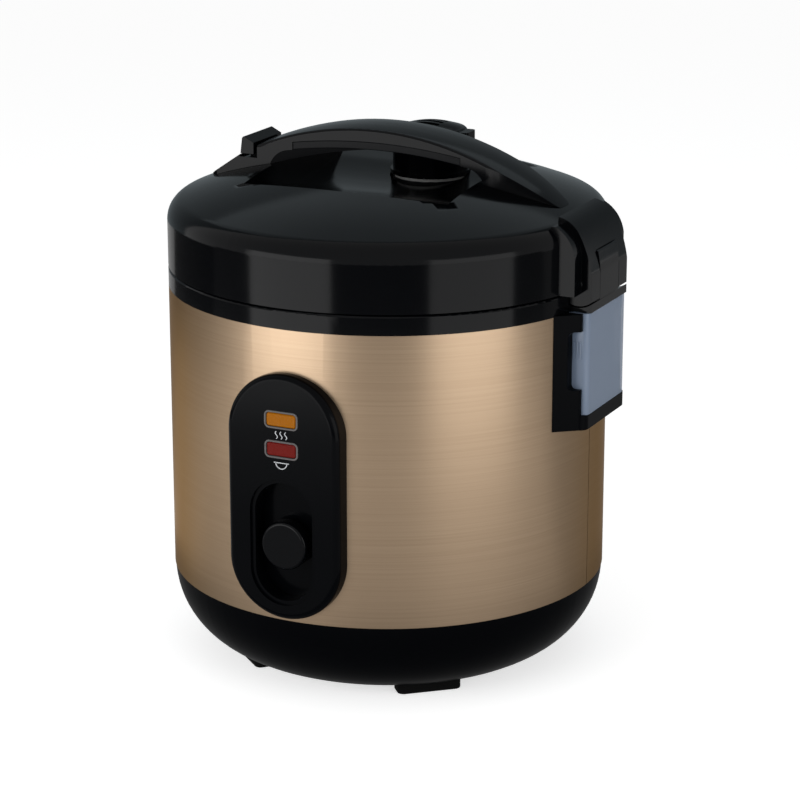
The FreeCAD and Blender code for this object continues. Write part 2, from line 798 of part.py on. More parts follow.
def make_rim():
    """The moulded ring on the shell: a seat for the pot's flange, a trough for the hinge, a latch slot."""
    inner_wall = "shell_radius - rim_wall - shell_wall"
    rim = turned("upper_rim", [
        ("shell_radius", SHELL_TOP),
        ("shell_radius", f"{RIM_TOP} - rim_round"),
        ("shell_radius - rim_round", RIM_TOP, "rim_round", "left"),
        ("rim_seat_radius", RIM_TOP),
        ("rim_seat_radius", POT_SEAT),
        ("pot_radius + pot_play", POT_SEAT),
        ("pot_radius + pot_play", LEDGE_UNDERSIDE),
        ("rim_seat_radius + rim_wall", LEDGE_UNDERSIDE),
        ("rim_seat_radius + rim_wall", f"{RIM_TOP} - rim_wall"),
        (inner_wall, f"{RIM_TOP} - rim_wall"),
        (inner_wall, f"{SHELL_TOP} - rim_skirt"),
        (f"{SHELL_INSIDE} - fit_gap", f"{SHELL_TOP} - rim_skirt"),
        (f"{SHELL_INSIDE} - fit_gap", SHELL_TOP),
    ])
    half = "(barrel_half + rim_wall)"
    edge = f"sqrt(shell_radius^2 - {half}^2)"
    pad(rim, "hinge_seat", "XY", [[
        ("rim_seat_radius + rim_wall / 2", f"-{half}"),
        (edge, f"-{half}"),
        (edge, half, "shell_radius", "left"),
        ("rim_seat_radius + rim_wall / 2", half),
    ]], SHELL_TOP, f"{RIM_TOP} - rim_wall / 2")
    pad(rim, "hinge_sill", "XY", [rectangle("rim_seat_radius + rim_wall / 2", "hinge_reach + hinge_back",
                                            "-barrel_half", "barrel_half")],
        f"{CUP_TOP} + fit_gap", f"{HINGE_LEVEL} - sqrt({TROUGH}^2 - hinge_back^2)")
    pocket(rim, "hinge_trough", "XZ", [circle("hinge_reach", HINGE_LEVEL, TROUGH)],
           "-(barrel_half + barrel_play)", "barrel_half + barrel_play")
    pocket(rim, "latch_slot", "XY", [rectangle("-(shell_radius - rim_wall)", "-catch_edge",
                                               "-(latch_half + fit_gap * 3)", "latch_half + fit_gap * 3")],
           f"{RIM_TOP} - rim_wall - cut_past", f"{RIM_TOP} + cut_past")
    pocket(rim, "drain_notch", "YZ", [rectangle("spout_offset - spout_width / 2 - seat_gap",
                                                "spout_offset + spout_width / 2 + seat_gap",
                                                f"{SHELL_TOP} - cut_past", f"{SHELL_TOP} + spout_height")],
           "rim_seat_radius + rim_wall / 3", f"{SPOUT_END} + fit_gap")
    keep(rim)

    catch = new_body("latch_catch")
    top = f"{RIM_TOP} - rim_wall"
    pad(catch, "catch_plate", "XY", [rectangle("-catch_edge", "-(rim_seat_radius + rim_wall)", "-catch_half",
                                               "catch_half")], f"{top} - catch_sheet", top)
    pocket(catch, "catch_back", "XY", [circle("0", "0", "rim_seat_radius + rim_wall + seat_gap")],
           f"{top} - catch_sheet", top)
    keep(catch)

    spout = new_body("drain_spout")
    low = f"{SHELL_TOP} + seat_gap"
    pad(spout, "chute", "XY", [rectangle("rim_seat_radius + rim_wall + fit_gap", SPOUT_END,
                                         "spout_offset - spout_width / 2", "spout_offset + spout_width / 2")],
        low, f"{low} + spout_height - seat_gap * 2")
    pocket(spout, "channel", "XY", [rectangle("rim_seat_radius + rim_wall + fit_gap + spout_wall",
                                              f"{SPOUT_END} + cut_past",
                                              "spout_offset - spout_width / 2 + spout_wall",
                                              "spout_offset + spout_width / 2 - spout_wall")],
           f"{low} + spout_wall", f"{low} + spout_height + cut_past")
    keep(spout)


def make_pot():
    """The cooking pot, drawn from sheet: wall and flange that hang in the rim, round bend, and base."""
    inside = "pot_radius - pot_wall"
    flange = "rim_seat_radius - pot_play"
    axis = "pot_radius - pot_corner"
    low, high = "pot_floor + pot_base_height", "pot_floor + pot_bend_height"

    def at(height, radius):
        return f"{axis} + sqrt(({radius})^2 - (pot_corner - {height})^2)"

    inner_radius = "pot_corner - pot_wall"
    outer_low, outer_high = at("pot_base_height", "pot_corner"), at("pot_bend_height", "pot_corner")
    inner_low, inner_high = at("pot_base_height", inner_radius), at("pot_bend_height", inner_radius)
    keep(turned("inner_pot", [
        (outer_high, high),
        ("pot_radius", "pot_floor + pot_corner", "pot_corner", "left"),
        ("pot_radius", POT_SEAT),
        (flange, POT_SEAT),
        (flange, f"{POT_SEAT} + pot_flange"),
        (inside, f"{POT_SEAT} + pot_flange"),
        (inside, "pot_floor + pot_corner"),
        (inner_high, high, inner_radius, "right"),
    ]))
    keep(turned("pot_bend", [
        (outer_low, low),
        (outer_high, high, "pot_corner", "left"),
        (inner_high, high),
        (inner_low, low, inner_radius, "right"),
    ]))
    keep(turned("pot_base", [
        ("0", "pot_floor"),
        (axis, "pot_floor"),
        (outer_low, low, "pot_corner", "left"),
        (inner_low, low),
        (axis, "pot_floor + pot_wall", inner_radius, "right"),
        ("0", "pot_floor + pot_wall"),
    ]))


def make_heating():
    """The liner, the cast heating plate on its stands, the keep-warm band and the safety fuse."""
    low = "liner_floor"
    liner = turned("inner_liner", [
        ("liner_opening", low),
        (LINER_OUTSIDE, low),
        (LINER_OUTSIDE, f"{LEDGE_UNDERSIDE} - liner_sheet"),
        (f"{LINER_OUTSIDE} + liner_flange", f"{LEDGE_UNDERSIDE} - liner_sheet"),
        (f"{LINER_OUTSIDE} + liner_flange", LEDGE_UNDERSIDE),
        (LINER_INSIDE, LEDGE_UNDERSIDE),
        (LINER_INSIDE, f"{low} + liner_sheet"),
        ("liner_opening", f"{low} + liner_sheet"),
    ])
    terminals_at = [(side + "terminal_spread", "heater_ring_radius") for side in ("", "-")]
    pocket(liner, "terminal_holes", "XY", [circle(x, y, "terminal_radius + fit_gap * 3") for x,
                                           y in terminals_at],
           f"{low} - cut_past", f"{low} + liner_sheet + cut_past")
    keep(liner)
    under = "pot_floor - plate_thickness"
    ring_in = "heater_ring_radius - heater_ring_width / 2"
    ring_out = "heater_ring_radius + heater_ring_width / 2"
    keep(turned("heat_plate", [
        ("plate_hole", under),
        (f"{ring_in} - heater_ring_slope", under),
        (ring_in, f"{under} - heater_ring_depth"),
        (ring_out, f"{under} - heater_ring_depth"),
        (f"{ring_out} + heater_ring_slope", under),
        ("plate_radius", under),
        ("plate_radius", "pot_floor"),
        ("plate_hole", "pot_floor"),
    ]))
    terminals = new_body("heater_terminals")
    ring_floor = f"{under} - heater_ring_depth"
    pad(terminals, "terminal", "XY", [circle(x, y, "terminal_radius") for x, y in terminals_at],
        f"{ring_floor} - terminal_length", ring_floor)
    keep(terminals)
    stands = new_body("plate_stands")
    stand = pad(stands, "stand", "XY", [circle("stand_circle", "0", "stand_radius")],
                f"{low} + liner_sheet", under)
    repeat_round(stands, "stand_ring", [stand], 3)
    keep(stands)
    band_in = f"{LINER_OUTSIDE} + seat_gap"
    keep(turned("keep_warm_band", [
        (band_in, "warm_band_bottom"),
        (f"{band_in} + warm_band_thickness", "warm_band_bottom"),
        (f"{band_in} + warm_band_thickness", "warm_band_bottom + warm_band_height"),
        (band_in, "warm_band_bottom + warm_band_height"),
    ]))
    fuse = new_body("thermal_fuse")
    pad(fuse, "fuse_body", "YZ", [circle("stand_circle / 2", f"{low} - fuse_radius", "fuse_radius")],
        "liner_opening - fuse_length", "liner_opening")
    keep(fuse)


def make_thermostat():
    """The sprung sensor cap in the plate's hole, its ferrite block, the sleeve and the lifting magnet."""
    cap_top = "pot_floor - fit_gap"
    skirt_end = f"{cap_top} - sensor_skirt"
    sleeve_floor = "liner_floor + liner_sheet"
    keep(turned("sensor_cap", [
        ("0", f"{cap_top} - sensor_wall"),
        ("sensor_radius - sensor_wall", f"{cap_top} - sensor_wall"),
        ("sensor_radius - sensor_wall", skirt_end),
        ("sensor_radius", skirt_end),
        ("sensor_radius", cap_top),
        ("0", cap_top),
    ]))
    keep(turned("ferrite_block", [
        ("0", f"{cap_top} - sensor_wall - ferrite_height"),
        ("ferrite_radius", f"{cap_top} - sensor_wall - ferrite_height"),
        ("ferrite_radius", f"{cap_top} - sensor_wall"),
        ("0", f"{cap_top} - sensor_wall"),
    ]))
    keep(turned("thermostat_sleeve", [
        ("sleeve_radius - sleeve_wall", sleeve_floor),
        ("liner_opening + sleeve_flange", sleeve_floor),
        ("liner_opening + sleeve_flange", f"{sleeve_floor} + liner_sheet"),
        ("sleeve_radius", f"{sleeve_floor} + liner_sheet"),
        ("sleeve_radius", f"{sleeve_floor} + sleeve_height"),
        ("sleeve_radius - sleeve_wall", f"{sleeve_floor} + sleeve_height"),
    ]))
    spring_floor = value(f"{sleeve_floor} + liner_sheet + seat_gap")
    keep(coil("thermostat_spring", value("thermo_wire"), value("sensor_radius - sensor_wall / 2"),
              value(f"{skirt_end} - seat_gap") - spring_floor, value("thermo_turns"),
              Placement(Vector(0, 0, spring_floor), Rotation())))
    rod_foot = "rocker_level + rocker_thickness / 2 + fit_gap"
    rod_top = f"{rod_foot} + rod_length"
    keep(turned("magnet_rod", [
        ("0", rod_foot),
        ("rod_radius", rod_foot),
        ("rod_radius", f"{rod_top} - magnet_height"),
        ("ferrite_radius", f"{rod_top} - magnet_height"),
        ("ferrite_radius", rod_top),
        ("0", rod_top),
    ]))


def make_linkage():
    """The rocker that the knob's stem tips to lift the magnet, its bracket and pin, and the switch."""
    under = "liner_floor"
    half = "rocker_width / 2"
    rocker = new_body("rocker")
    pad(rocker, "rocker_bar", "YZ", [rectangle("-rocker_front", "rod_radius / 3",
                                               "rocker_level - rocker_thickness / 2",
                                               "rocker_level + rocker_thickness / 2")], f"-({half})", half)
    pad(rocker, "rocker_boss", "YZ", [circle("-rocker_pivot", "rocker_level", "rocker_boss")], f"-({half})",
        half)
    bore = circle("-rocker_pivot", "rocker_level", "rocker_pin_radius + pin_play")
    pocket(rocker, "rocker_bore", "YZ", [bore],
           f"-({half}) - cut_past", f"{half} + cut_past")
    keep(rocker)
    bracket = new_body("rocker_bracket")
    outer = f"({half} + fit_gap + bracket_sheet)"
    front = "-rocker_pivot - rocker_boss - bracket_margin"
    back = "-rocker_pivot + rocker_boss + bracket_margin"
    low = "rocker_level - rocker_boss - bracket_margin"
    pad(bracket, "bracket_blank", "YZ", [rectangle(front, back, low, under)], f"-{outer}", outer)
    pocket(bracket, "bracket_gap", "YZ", [rectangle(f"{front} - cut_past", f"{back} + cut_past",
                                                    f"{low} - cut_past",
                                                    f"{under} - bracket_sheet")],
           f"-({half} + fit_gap)", f"{half} + fit_gap")
    pocket(bracket, "bracket_bore", "YZ", [bore], f"-{outer} - cut_past", f"{outer} + cut_past")
    keep(bracket)
    pin = new_body("rocker_pin")
    pad(pin, "pin", "YZ", [circle("-rocker_pivot", "rocker_level", "rocker_pin_radius")],
        f"-{outer} - fit_gap", f"{outer} + fit_gap")
    keep(pin)
    switch = new_body("microswitch")
    middle = "(rocker_pivot + rocker_front) / 2"
    pad(switch, "switch_case", "XY", [rounded("switch_offset", "switch_offset + switch_width",
                                              f"-({middle}) - switch_length / 2",
                                              f"-({middle}) + switch_length / 2",
                                              "switch_width / 10")], f"{under} - switch_height", under)
    pad(switch, "switch_plunger", "XY", [circle("switch_offset + switch_width / 2", f"-({middle})",
                                                "plunger_radius")],
        f"{under} - switch_height - plunger_height", f"{under} - switch_height")
    keep(switch)


def lens_box(level, grow):
    return rounded(f"-(lens_width / 2 + {grow})", f"lens_width / 2 + {grow}",
                   f"({level} - lens_height / 2 - ({grow}))", f"({level} + lens_height / 2 + {grow})",
                   f"(lens_round + {grow})")


def make_panel():
    """The control panel: a raised slot-shaped moulding with a well for the knob and two lamp windows."""
    face = f"-{PANEL_FACE}"
    levels = ("warm_level", "cook_level")
    well_floor = f"({face} + well_depth)"
    panel = new_body("control_panel")
    front = pad(panel, "front", "XZ", [stadium("panel_width / 2", "panel_bottom",
                                               "panel_bottom + panel_height")],
                face, f"-{SHELL_INSIDE} * 0.9")
    soften(panel, "front_round", front, "panel_round",
           lambda edge: abs(edge.BoundBox.YMax + value(PANEL_FACE)) < 0.01 and edge.BoundBox.YLength < 0.01)
    pocket(panel, "shell_curve", "XY", [circle("0", "0", "shell_radius + seat_gap")],
           "panel_bottom - cut_past", "panel_bottom + panel_height + cut_past")
    pad(panel, "well_case", "XZ", [stadium("well_width / 2 + well_wall", "well_bottom - well_wall",
                                           "well_bottom + well_height + well_wall")],
        f"{face} + panel_round", f"{well_floor} + well_wall")
    pocket(panel, "well_rim", "XZ", [stadium("well_width / 2 + well_step", "well_bottom - well_step",
                                             "well_bottom + well_height + well_step")],
           f"{face} - cut_past", f"{face} + well_step_depth")
    pocket(panel, "well", "XZ", [stadium("well_width / 2", "well_bottom", "well_bottom + well_height")],
           f"{face} - cut_past", well_floor)
    half = "neck_width / 2"
    pocket(panel, "neck_slot", "XZ", [rectangle(f"-({half} + fit_gap)", f"{half} + fit_gap",
                                                f"knob_level - {half} - knob_travel - fit_gap * 2",
                                                f"knob_level + {half} + fit_gap")],
           f"{well_floor} - cut_past", f"{well_floor} + well_wall + cut_past")
    pocket(panel, "lamp_windows", "XZ", [lens_box(level, "bezel_width + seat_gap") for level in levels],
           f"{face} - cut_past", "-shell_radius * 0.8")
    holes = [circle(x, z, "screw_radius + seat_gap / 2") for x, z in panel_screw_places()]
    pocket(panel, "screw_holes", "XZ", holes, f"{face} + panel_round", "-shell_radius * 0.8")
    keep(panel)

    bezels = new_body("lamp_bezels")
    pad(bezels, "bezel", "XZ", [lens_box(level, "bezel_width") for level in levels],
        f"{face} - lens_proud", f"{face} + bezel_depth")
    pocket(bezels, "bezel_hole", "XZ", [lens_box(level, "seat_gap") for level in levels],
           f"{face} - lens_proud - cut_past", f"{face} + bezel_depth + cut_past")
    keep(bezels)
    for label, level in (("warm_lens", "warm_level"), ("cook_lens", "cook_level")):
        lens = new_body(label)
        pad(lens, label + "_block", "XZ", [lens_box(level, "0")], f"{face} - lens_proud / 2",
            f"{face} + lens_depth")
        keep(lens)

    lamp_y = f"({face} + lens_depth + lamp_radius + seat_gap)"
    lamps = new_body("neon_lamps")
    pad(lamps, "lamp", "YZ", [circle(lamp_y, level, "lamp_radius") for level in levels],
        "-lamp_length / 2", "lamp_length / 2")
    keep(lamps)
    holder = new_body("lamp_holder")
    plate_y = f"({lamp_y} + lamp_radius + seat_gap)"
    low, high = "cook_level - lens_height", "warm_level + lens_height"
    pad(holder, "holder_plate", "XZ", [rounded("-lamp_length", "lamp_length", low, high, "holder_round")],
        plate_y, f"{plate_y} + holder_plate")
    middle = "(warm_level + cook_level) / 2"
    legs = [rectangle(*ends, f"{middle} - holder_leg_height / 2", f"{middle} + holder_leg_height / 2")
            for ends in (("-holder_leg_out", "-holder_leg_in"), ("holder_leg_in", "holder_leg_out"))]
    pad(holder, "holder_legs", "XZ", legs, "-sqrt(shell_radius^2 - holder_leg_out^2) + seat_gap", plate_y)
    keep(holder)

    screws = new_body("panel_screws")
    places = panel_screw_places()
    inner = f"-sqrt(({SHELL_INSIDE} - screw_head_height / 4)^2 - (panel_screw_reach + screw_head)^2)"
    pad(screws, "shank", "XZ", [circle(x, z, "screw_radius") for x, z in places],
        f"{face} + panel_round + seat_gap", inner)
    pad(screws, "head", "XZ", [circle(x, z, "screw_head") for x, z in places],
        f"{inner}", f"{inner} + screw_head_height")
    keep(screws)

    knob = new_body("cook_knob")
    knob_face = f"({face} + knob_inset)"
    disc = pad(knob, "knob_disc", "XZ", [circle("0", "knob_level", "knob_radius")],
               knob_face, f"{knob_face} + knob_thickness")
    soften(knob, "knob_edge", disc, "knob_round", lambda edge: abs(edge.BoundBox.YMax - value(knob_face)) < 0.01)
    stem_y = f"({well_floor} + well_wall + fit_gap * 2)"
    pad(knob, "neck", "XZ", [rectangle(f"-({half})", half, f"knob_level - {half}", f"knob_level + {half}")],
        f"{knob_face} + knob_thickness - cut_past", f"{stem_y} + stem_thickness")
    pad(knob, "stem", "XZ", [rectangle(f"-({half})", half, "rocker_level + rocker_thickness / 2 + fit_gap",
                                       f"knob_level + {half}")], stem_y, f"{stem_y} + stem_thickness")
    keep(knob)


def make_inlet():
    """The appliance inlet on the back: a moulded socket with three blades set back from its mouth."""
    mouth = "(shell_radius + inlet_proud)"
    floor = f"({mouth} - inlet_depth)"
    inlet = new_body("power_inlet")
    pad(inlet, "bezel", "XZ", [inlet_box("inlet_wall + inlet_bezel")], "shell_radius * 0.9", mouth)
    pocket(inlet, "shell_curve", "XY", [circle("0", "0", "shell_radius + seat_gap")],
           "inlet_level - inlet_height * 2", "inlet_level + inlet_height * 2")
    pad(inlet, "case", "XZ", [inlet_box("inlet_wall")], f"{floor} - inlet_wall", f"{mouth} - inlet_proud / 2")
    pocket(inlet, "socket", "XZ", [inlet_box("0")], floor, f"{mouth} + cut_past")
    keep(inlet)
    blades = new_body("inlet_blades")
    low, high = "inlet_level - blade_stagger", "inlet_level + blade_stagger"
    places = (("-blade_pitch", low), ("0", high), ("blade_pitch", low))
    pad(blades, "blade", "XZ", [rectangle(f"{x} - blade_thickness / 2", f"{x} + blade_thickness / 2",
                                          f"{z} - blade_width / 2", f"{z} + blade_width / 2")
                                for x, z in places],
        floor, f"{floor} + blade_length")
    keep(blades)


def cup_outline(inset):
    """The collector in plan: flat outside, rounded corners, and a back that follows the shell."""
    half = f"(cup_half - ({inset}))"
    face = f"(cup_face - ({inset}))"
    corner = f"(cup_corner - ({inset}))"
    back = f"(shell_radius + cup_back_gap + {inset})"
    edge = f"sqrt({back}^2 - {half}^2)"
    return [
        (edge, f"-{half}", back, "right"),
        (f"{face} - {corner}", f"-{half}"),
        (face, f"{corner} - {half}", corner, "left"),
        (face, f"{half} - {corner}"),
        (f"{face} - {corner}", half, corner, "left"),
        (edge, half),
    ]


def make_collector():
    """The clear cup that hangs under the hinge, and the cradle on the shell that it slides into."""
    cup = new_body("dew_collector")
    pad(cup, "cup_block", "XY", [cup_outline("0")], "cup_bottom", CUP_TOP)
    ribs = [f"cup_face - cup_corner - cup_rib * {step}" for step in (1, 3, 5)]
    pad(cup, "grip_ribs", "XY", [rectangle(f"{rib} - cup_rib / 2", f"{rib} + cup_rib / 2",
                                           "-(cup_half + cup_rib_proud)", "cup_half + cup_rib_proud")
                                 for rib in ribs],
        "cup_bottom + cup_rib_low", "cup_bottom + cup_rib_low + cup_rib_length")
    pocket(cup, "cup_hollow", "XY", [cup_outline("cup_wall")], "cup_bottom + cup_wall",
           f"{CUP_TOP} + cut_past")
    pocket(cup, "spout_notch", "YZ", [rectangle("spout_offset - spout_width / 2 - fit_gap * 3",
                                                "spout_offset + spout_width / 2 + fit_gap * 3",
                                                f"{SHELL_TOP} - fit_gap * 3", f"{CUP_TOP} + cut_past")],
           "shell_radius * 0.9", "shell_radius + cup_back_gap + cup_wall * 1.5")
    keep(cup)

    cradle = new_body("collector_cradle")
    low = "cup_bottom - seat_gap - cradle_shelf"
    shelf_top = "cup_bottom - seat_gap"
    seat = "(shell_radius + seat_gap)"
    edge = f"sqrt({seat}^2 - cradle_half^2)"
    front_in = "cup_face - cradle_corner * 0.7"
    pad(cradle, "cradle_block", "XY", [[
        (edge, "-cradle_half", seat, "right"),
        (front_in, "-cradle_front"),
        ("cup_face", "cradle_corner - cradle_front", "cradle_corner", "left"),
        ("cup_face", "cradle_front - cradle_corner"),
        (front_in, "cradle_front", "cradle_corner", "left"),
        (edge, "cradle_half"),
    ]], low, CUP_TOP)
    pocket(cradle, "cup_space", "XY", [rectangle("shell_radius * 0.8", "cup_face + cut_past",
                                                 "-(cup_half + fit_gap)",
                                                 "cup_half + fit_gap")], shelf_top, f"{CUP_TOP} + cut_past")
    pocket(cradle, "front_edge", "XZ", [rectangle("cup_face - cradle_set", "cup_face + cut_past", shelf_top,
                                                  f"{CUP_TOP} + cut_past")], "-cradle_half", "cradle_half")
    pocket(cradle, "side_windows", "XZ", [rounded("cradle_reach", "cup_face + cradle_corner",
                                                  f"({shelf_top} + cradle_side)",
                                                  f"({CUP_TOP} - cradle_band)",
                                                  "cradle_corner / 2")], "-cradle_half", "cradle_half")
    keep(cradle)


def make_hinge():
    """The fixed post between the lid's knuckles, its pin and the torsion spring round it."""
    x, z = "hinge_reach", HINGE_LEVEL
    seat = f"({TROUGH} - seat_gap)"
    round_ = "(post_sweep - fit_gap)"
    top_in = "(hinge_back - post_lean)"
    post = new_body("hinge_post")
    pad(post, "post_blank", "XZ", [[
        (f"{x} + hinge_back", f"{z} - sqrt({seat}^2 - hinge_back^2)"),
        (f"{x} - sqrt({seat}^2 - hinge_rise^2)", RIM_TOP, seat, "right"),
        (f"{x} - hinge_back", f"{z} + sqrt({round_}^2 - hinge_back^2)"),
        (f"{x} + {top_in}", f"{z} + sqrt({round_}^2 - {top_in}^2)", round_, "right"),
        (f"{x} + hinge_back", f"{z} + barrel_wall", "barrel_curve", "right"),
    ]], "-post_half", "post_half")
    pocket(post, "spring_space", "XZ", [rectangle(f"{x} - hinge_back * 2", f"{x} + hinge_back - post_wall",
                                                  f"{z} - hinge_rise", f"{z} + post_sweep")],
           "-(post_half - post_ear)", "post_half - post_ear")
    pocket(post, "pin_hole", "XZ", [circle(x, z, "hinge_pin_radius + pin_play")], "-post_half - cut_past",
           "post_half + cut_past")
    keep(post)
    pin = new_body("hinge_pin")
    pad(pin, "pin", "XZ", [circle(x, z, "hinge_pin_radius")], "-(barrel_half - fit_gap)",
        "barrel_half - fit_gap")
    keep(pin)
    room = value("2 * (post_half - post_ear - fit_gap)")
    place = Placement(Vector(value(x), -room / 2, value(z)), Rotation(Vector(1, 0, 0), -90))
    keep(coil("hinge_spring", value("torsion_wire"), value("hinge_pin_radius + torsion_wire / 2 + fit_gap"),
              room,
              value("torsion_turns"), place))


def latch_opening():
    """The slot in the dome that the lever comes up through."""
    return rectangle("-(latch_pivot_reach + fit_gap * 2)", "-(button_inner - latch_room)",
                     "-(latch_half + fit_gap * 2)", "latch_half + fit_gap * 2")


def screw_spots():
    """Where the handle's screws come up through the dome."""
    return [(x, side + "handle_screw_side") for x in ("-handle_screw_tail", "handle_screw_front")
            for side in ("", "-")]


def make_lid_shell():
    """The lid's outer moulding: dome, finger well under the handle, knuckle block, and inner bosses."""
    dome = new_body("lid_dome")
    turn(dome, "dome", dome_outline("0", LID_BOTTOM))
    well_axis = "well_floor + well_radius"
    pocket(dome, "finger_well", "YZ", [circle("well_centre", well_axis, "well_radius")], "-well_half",
           "well_half")

    cavity = new_body("lid_cavity")
    turn(cavity, "hollow", dome_outline("lid_wall", f"{LID_BOTTOM} - cut_past"))
    pocket(cavity, "well_wall", "YZ", [circle("well_centre", well_axis, "well_radius + lid_wall")],
           "-(well_half + lid_wall)", "well_half + lid_wall")
    at = ("lid_boss_circle * cos(30 deg)", "lid_boss_circle * sin(30 deg)")
    boss = pocket(cavity, "boss", "XY", [circle(*at, "lid_boss_radius")],
                  f"{COVER_TOP} + seat_gap", LID_APEX)
    repeat_round(cavity, "bosses", [boss], 6)
    ear = rectangle(f"{LATCH_X} - latch_boss", f"{LATCH_X} + latch_boss", f"{LATCH_Z} - latch_boss", LID_APEX)
    ear_in, ear_out = "latch_half + fit_gap", "latch_half + fit_gap + ear_thickness"
    pocket(cavity, "ear_front", "XZ", [ear], f"-({ear_out})", f"-({ear_in})")
    pocket(cavity, "ear_back", "XZ", [ear], ear_in, ear_out)
    bare = boolean("Cut", "lid_bare", dome, cavity)

    x, z = "hinge_reach", HINGE_LEVEL
    inside = f"({x} - barrel_radius)"
    knuckle = new_body("lid_knuckle")
    pad(knuckle, "cheeks", "XZ", [[
        (inside, LID_BOTTOM),
        (f"{x} + cheek_reach", LID_BOTTOM),
        (f"{x} + cheek_reach", f"{z} + cheek_wall"),
        (f"{x} - cheek_set", f"{z} + cheek_top", "cheek_curve", "left"),
        (inside, f"{z} + cheek_top"),
    ]], "-cheek_half", "cheek_half")
    pad(knuckle, "barrel", "XZ", [[
        (f"{x} - barrel_radius", z),
        (f"{x} + hinge_back", f"{z} - sqrt(barrel_radius^2 - hinge_back^2)", "barrel_radius", "left"),
        (f"{x} + hinge_back", f"{z} + barrel_wall"),
        (x, f"{z} + barrel_brow", "barrel_curve", "left"),
        (f"{inside} + fit_gap", f"{z} + barrel_crest", "barrel_crest_curve", "left"),
        (inside, f"{z} + cheek_top"),
    ]], "-barrel_half", "barrel_half")
    joined = boolean("Fuse", "lid_joined", bare, knuckle)

    openings = new_body("lid_openings")
    pad(openings, "pin_bore", "XZ", [circle(x, z, "hinge_pin_radius + pin_play")], "-barrel_half",
        "barrel_half")
    pad(openings, "post_room", "XZ", [circle(x, z, "post_sweep")], "-(post_half + fit_gap)",
        "post_half + fit_gap")
    pad(openings, "vent_hole", "XY", [circle("vent_offset", "vent_back",
                                             "vent_skirt + vent_seat_wall + fit_gap")],
        "well_floor - lid_wall * 2", f"{LID_APEX} + cut_past")
    pad(openings, "vent_spot", "XY", [circle("vent_offset", "vent_back",
                                             "vent_radius + vent_ring + fit_gap")],
        "well_floor + seat_gap", f"{LID_APEX} + cut_past")
    pad(openings, "latch_way", "XY", [latch_opening()], f"{LATCH_Z} + latch_boss", f"{LID_APEX} + cut_past")
    pad(openings, "latch_pin_bore", "XZ", [circle(LATCH_X, LATCH_Z, "latch_pin_radius + pin_play")],
        "-(latch_half * 2)", "latch_half * 2")
    holes = [circle(at_x, at_y, "screw_radius + seat_gap") for at_x, at_y in screw_spots()]
    pad(openings, "handle_holes", "XY", holes, LATCH_Z, f"{LID_APEX} + cut_past")
    shell = boolean("Cut", "lid_shell", joined, openings)
    keep(shell)


def make_lid_lining():
    """What closes the lid from below: lower cover, sealing ring, and the plate over the pot."""
    cover = new_body("lid_lower_cover")
    edge = "shell_radius - lid_wall - fit_gap"
    rib = "gasket_inner - seat_gap"
    pot_top = f"({POT_SEAT} + pot_flange)"
    turn(cover, "cover_disc", [
        ("0", COVER_LOW),
        (f"{rib} - gasket_rib", COVER_LOW),
        (f"{rib} - gasket_rib", f"{pot_top} + fit_gap * 3"),
        (rib, f"{pot_top} + fit_gap * 3"),
        (rib, COVER_LOW),
        (edge, COVER_LOW),
        (edge, COVER_TOP),
        ("0", COVER_TOP),
    ])
    pocket(cover, "hinge_notch", "XY", [rectangle("hinge_reach - barrel_radius - fit_gap * 2",
                                                  "shell_radius + cut_past",
                                                  "-(cheek_half + fit_gap)", "cheek_half + fit_gap")],
           f"{COVER_LOW} - cut_past", f"{COVER_TOP} + cut_past")
    pocket(cover, "post_notch", "XY", [rectangle("hinge_reach - post_sweep", "shell_radius + cut_past",
                                                 "-(post_half + fit_gap * 2)", "post_half + fit_gap * 2")],
           f"{COVER_LOW} - cut_past", f"{COVER_TOP} + cut_past")
    pocket(cover, "latch_hole", "XY", [rectangle("-(shell_radius + 1)", "-(catch_edge - latch_arm * 2)",
                                                 "-(latch_half + fit_gap * 3)", "latch_half + fit_gap * 3")],
           f"{COVER_LOW} - cut_past", f"{COVER_TOP} + cut_past")
    pocket(cover, "vent_hole", "XY", [circle("vent_offset", "vent_back", "vent_skirt")],
           f"{COVER_LOW} - cut_past", f"{COVER_TOP} + cut_past")
    keep(cover)
    seal = f"{pot_top} + fit_gap"
    outer = "(gasket_inner + gasket_width)"
    keep(turned("lid_gasket", [
        ("gasket_inner", f"{seal} + gasket_lip"),
        ("gasket_inner + gasket_lip_in", seal),
        (f"{outer} - gasket_lip_out", seal),
        (outer, f"{seal} + gasket_lip"),
        (outer, COVER_LOW),
        ("gasket_inner", COVER_LOW),
    ]))
    plate = new_body("inner_lid_plate")
    plate_top = f"({COVER_LOW} - grommet_button)"
    plate_low = f"({plate_top} - inner_plate_sheet)"
    pad(plate, "plate_disc", "XY", [circle("0", "0", "inner_plate_radius")], plate_low, plate_top)
    pocket(plate, "grommet_hole", "XY", [circle("0", "0", "grommet_neck + seat_gap")], plate_low, plate_top)
    ring = "vent_skirt * 0.6"
    steam = [circle(f"vent_offset + {ring} * cos({step * 60} deg)",
                    f"vent_back + {ring} * sin({step * 60} deg)",
                    "steam_hole") for step in range(6)]
    pocket(plate, "steam_holes", "XY", steam, plate_low, plate_top)
    keep(plate)
    keep(turned("plate_grommet", [
        ("0", f"{plate_low} - grommet_button"),
        ("grommet_radius", f"{plate_low} - grommet_button"),
        ("grommet_radius", plate_low),
        ("grommet_neck", plate_low),
        ("grommet_neck", plate_top),
        ("grommet_radius", plate_top),
        ("grommet_radius", COVER_LOW),
        ("0", COVER_LOW),
    ]))


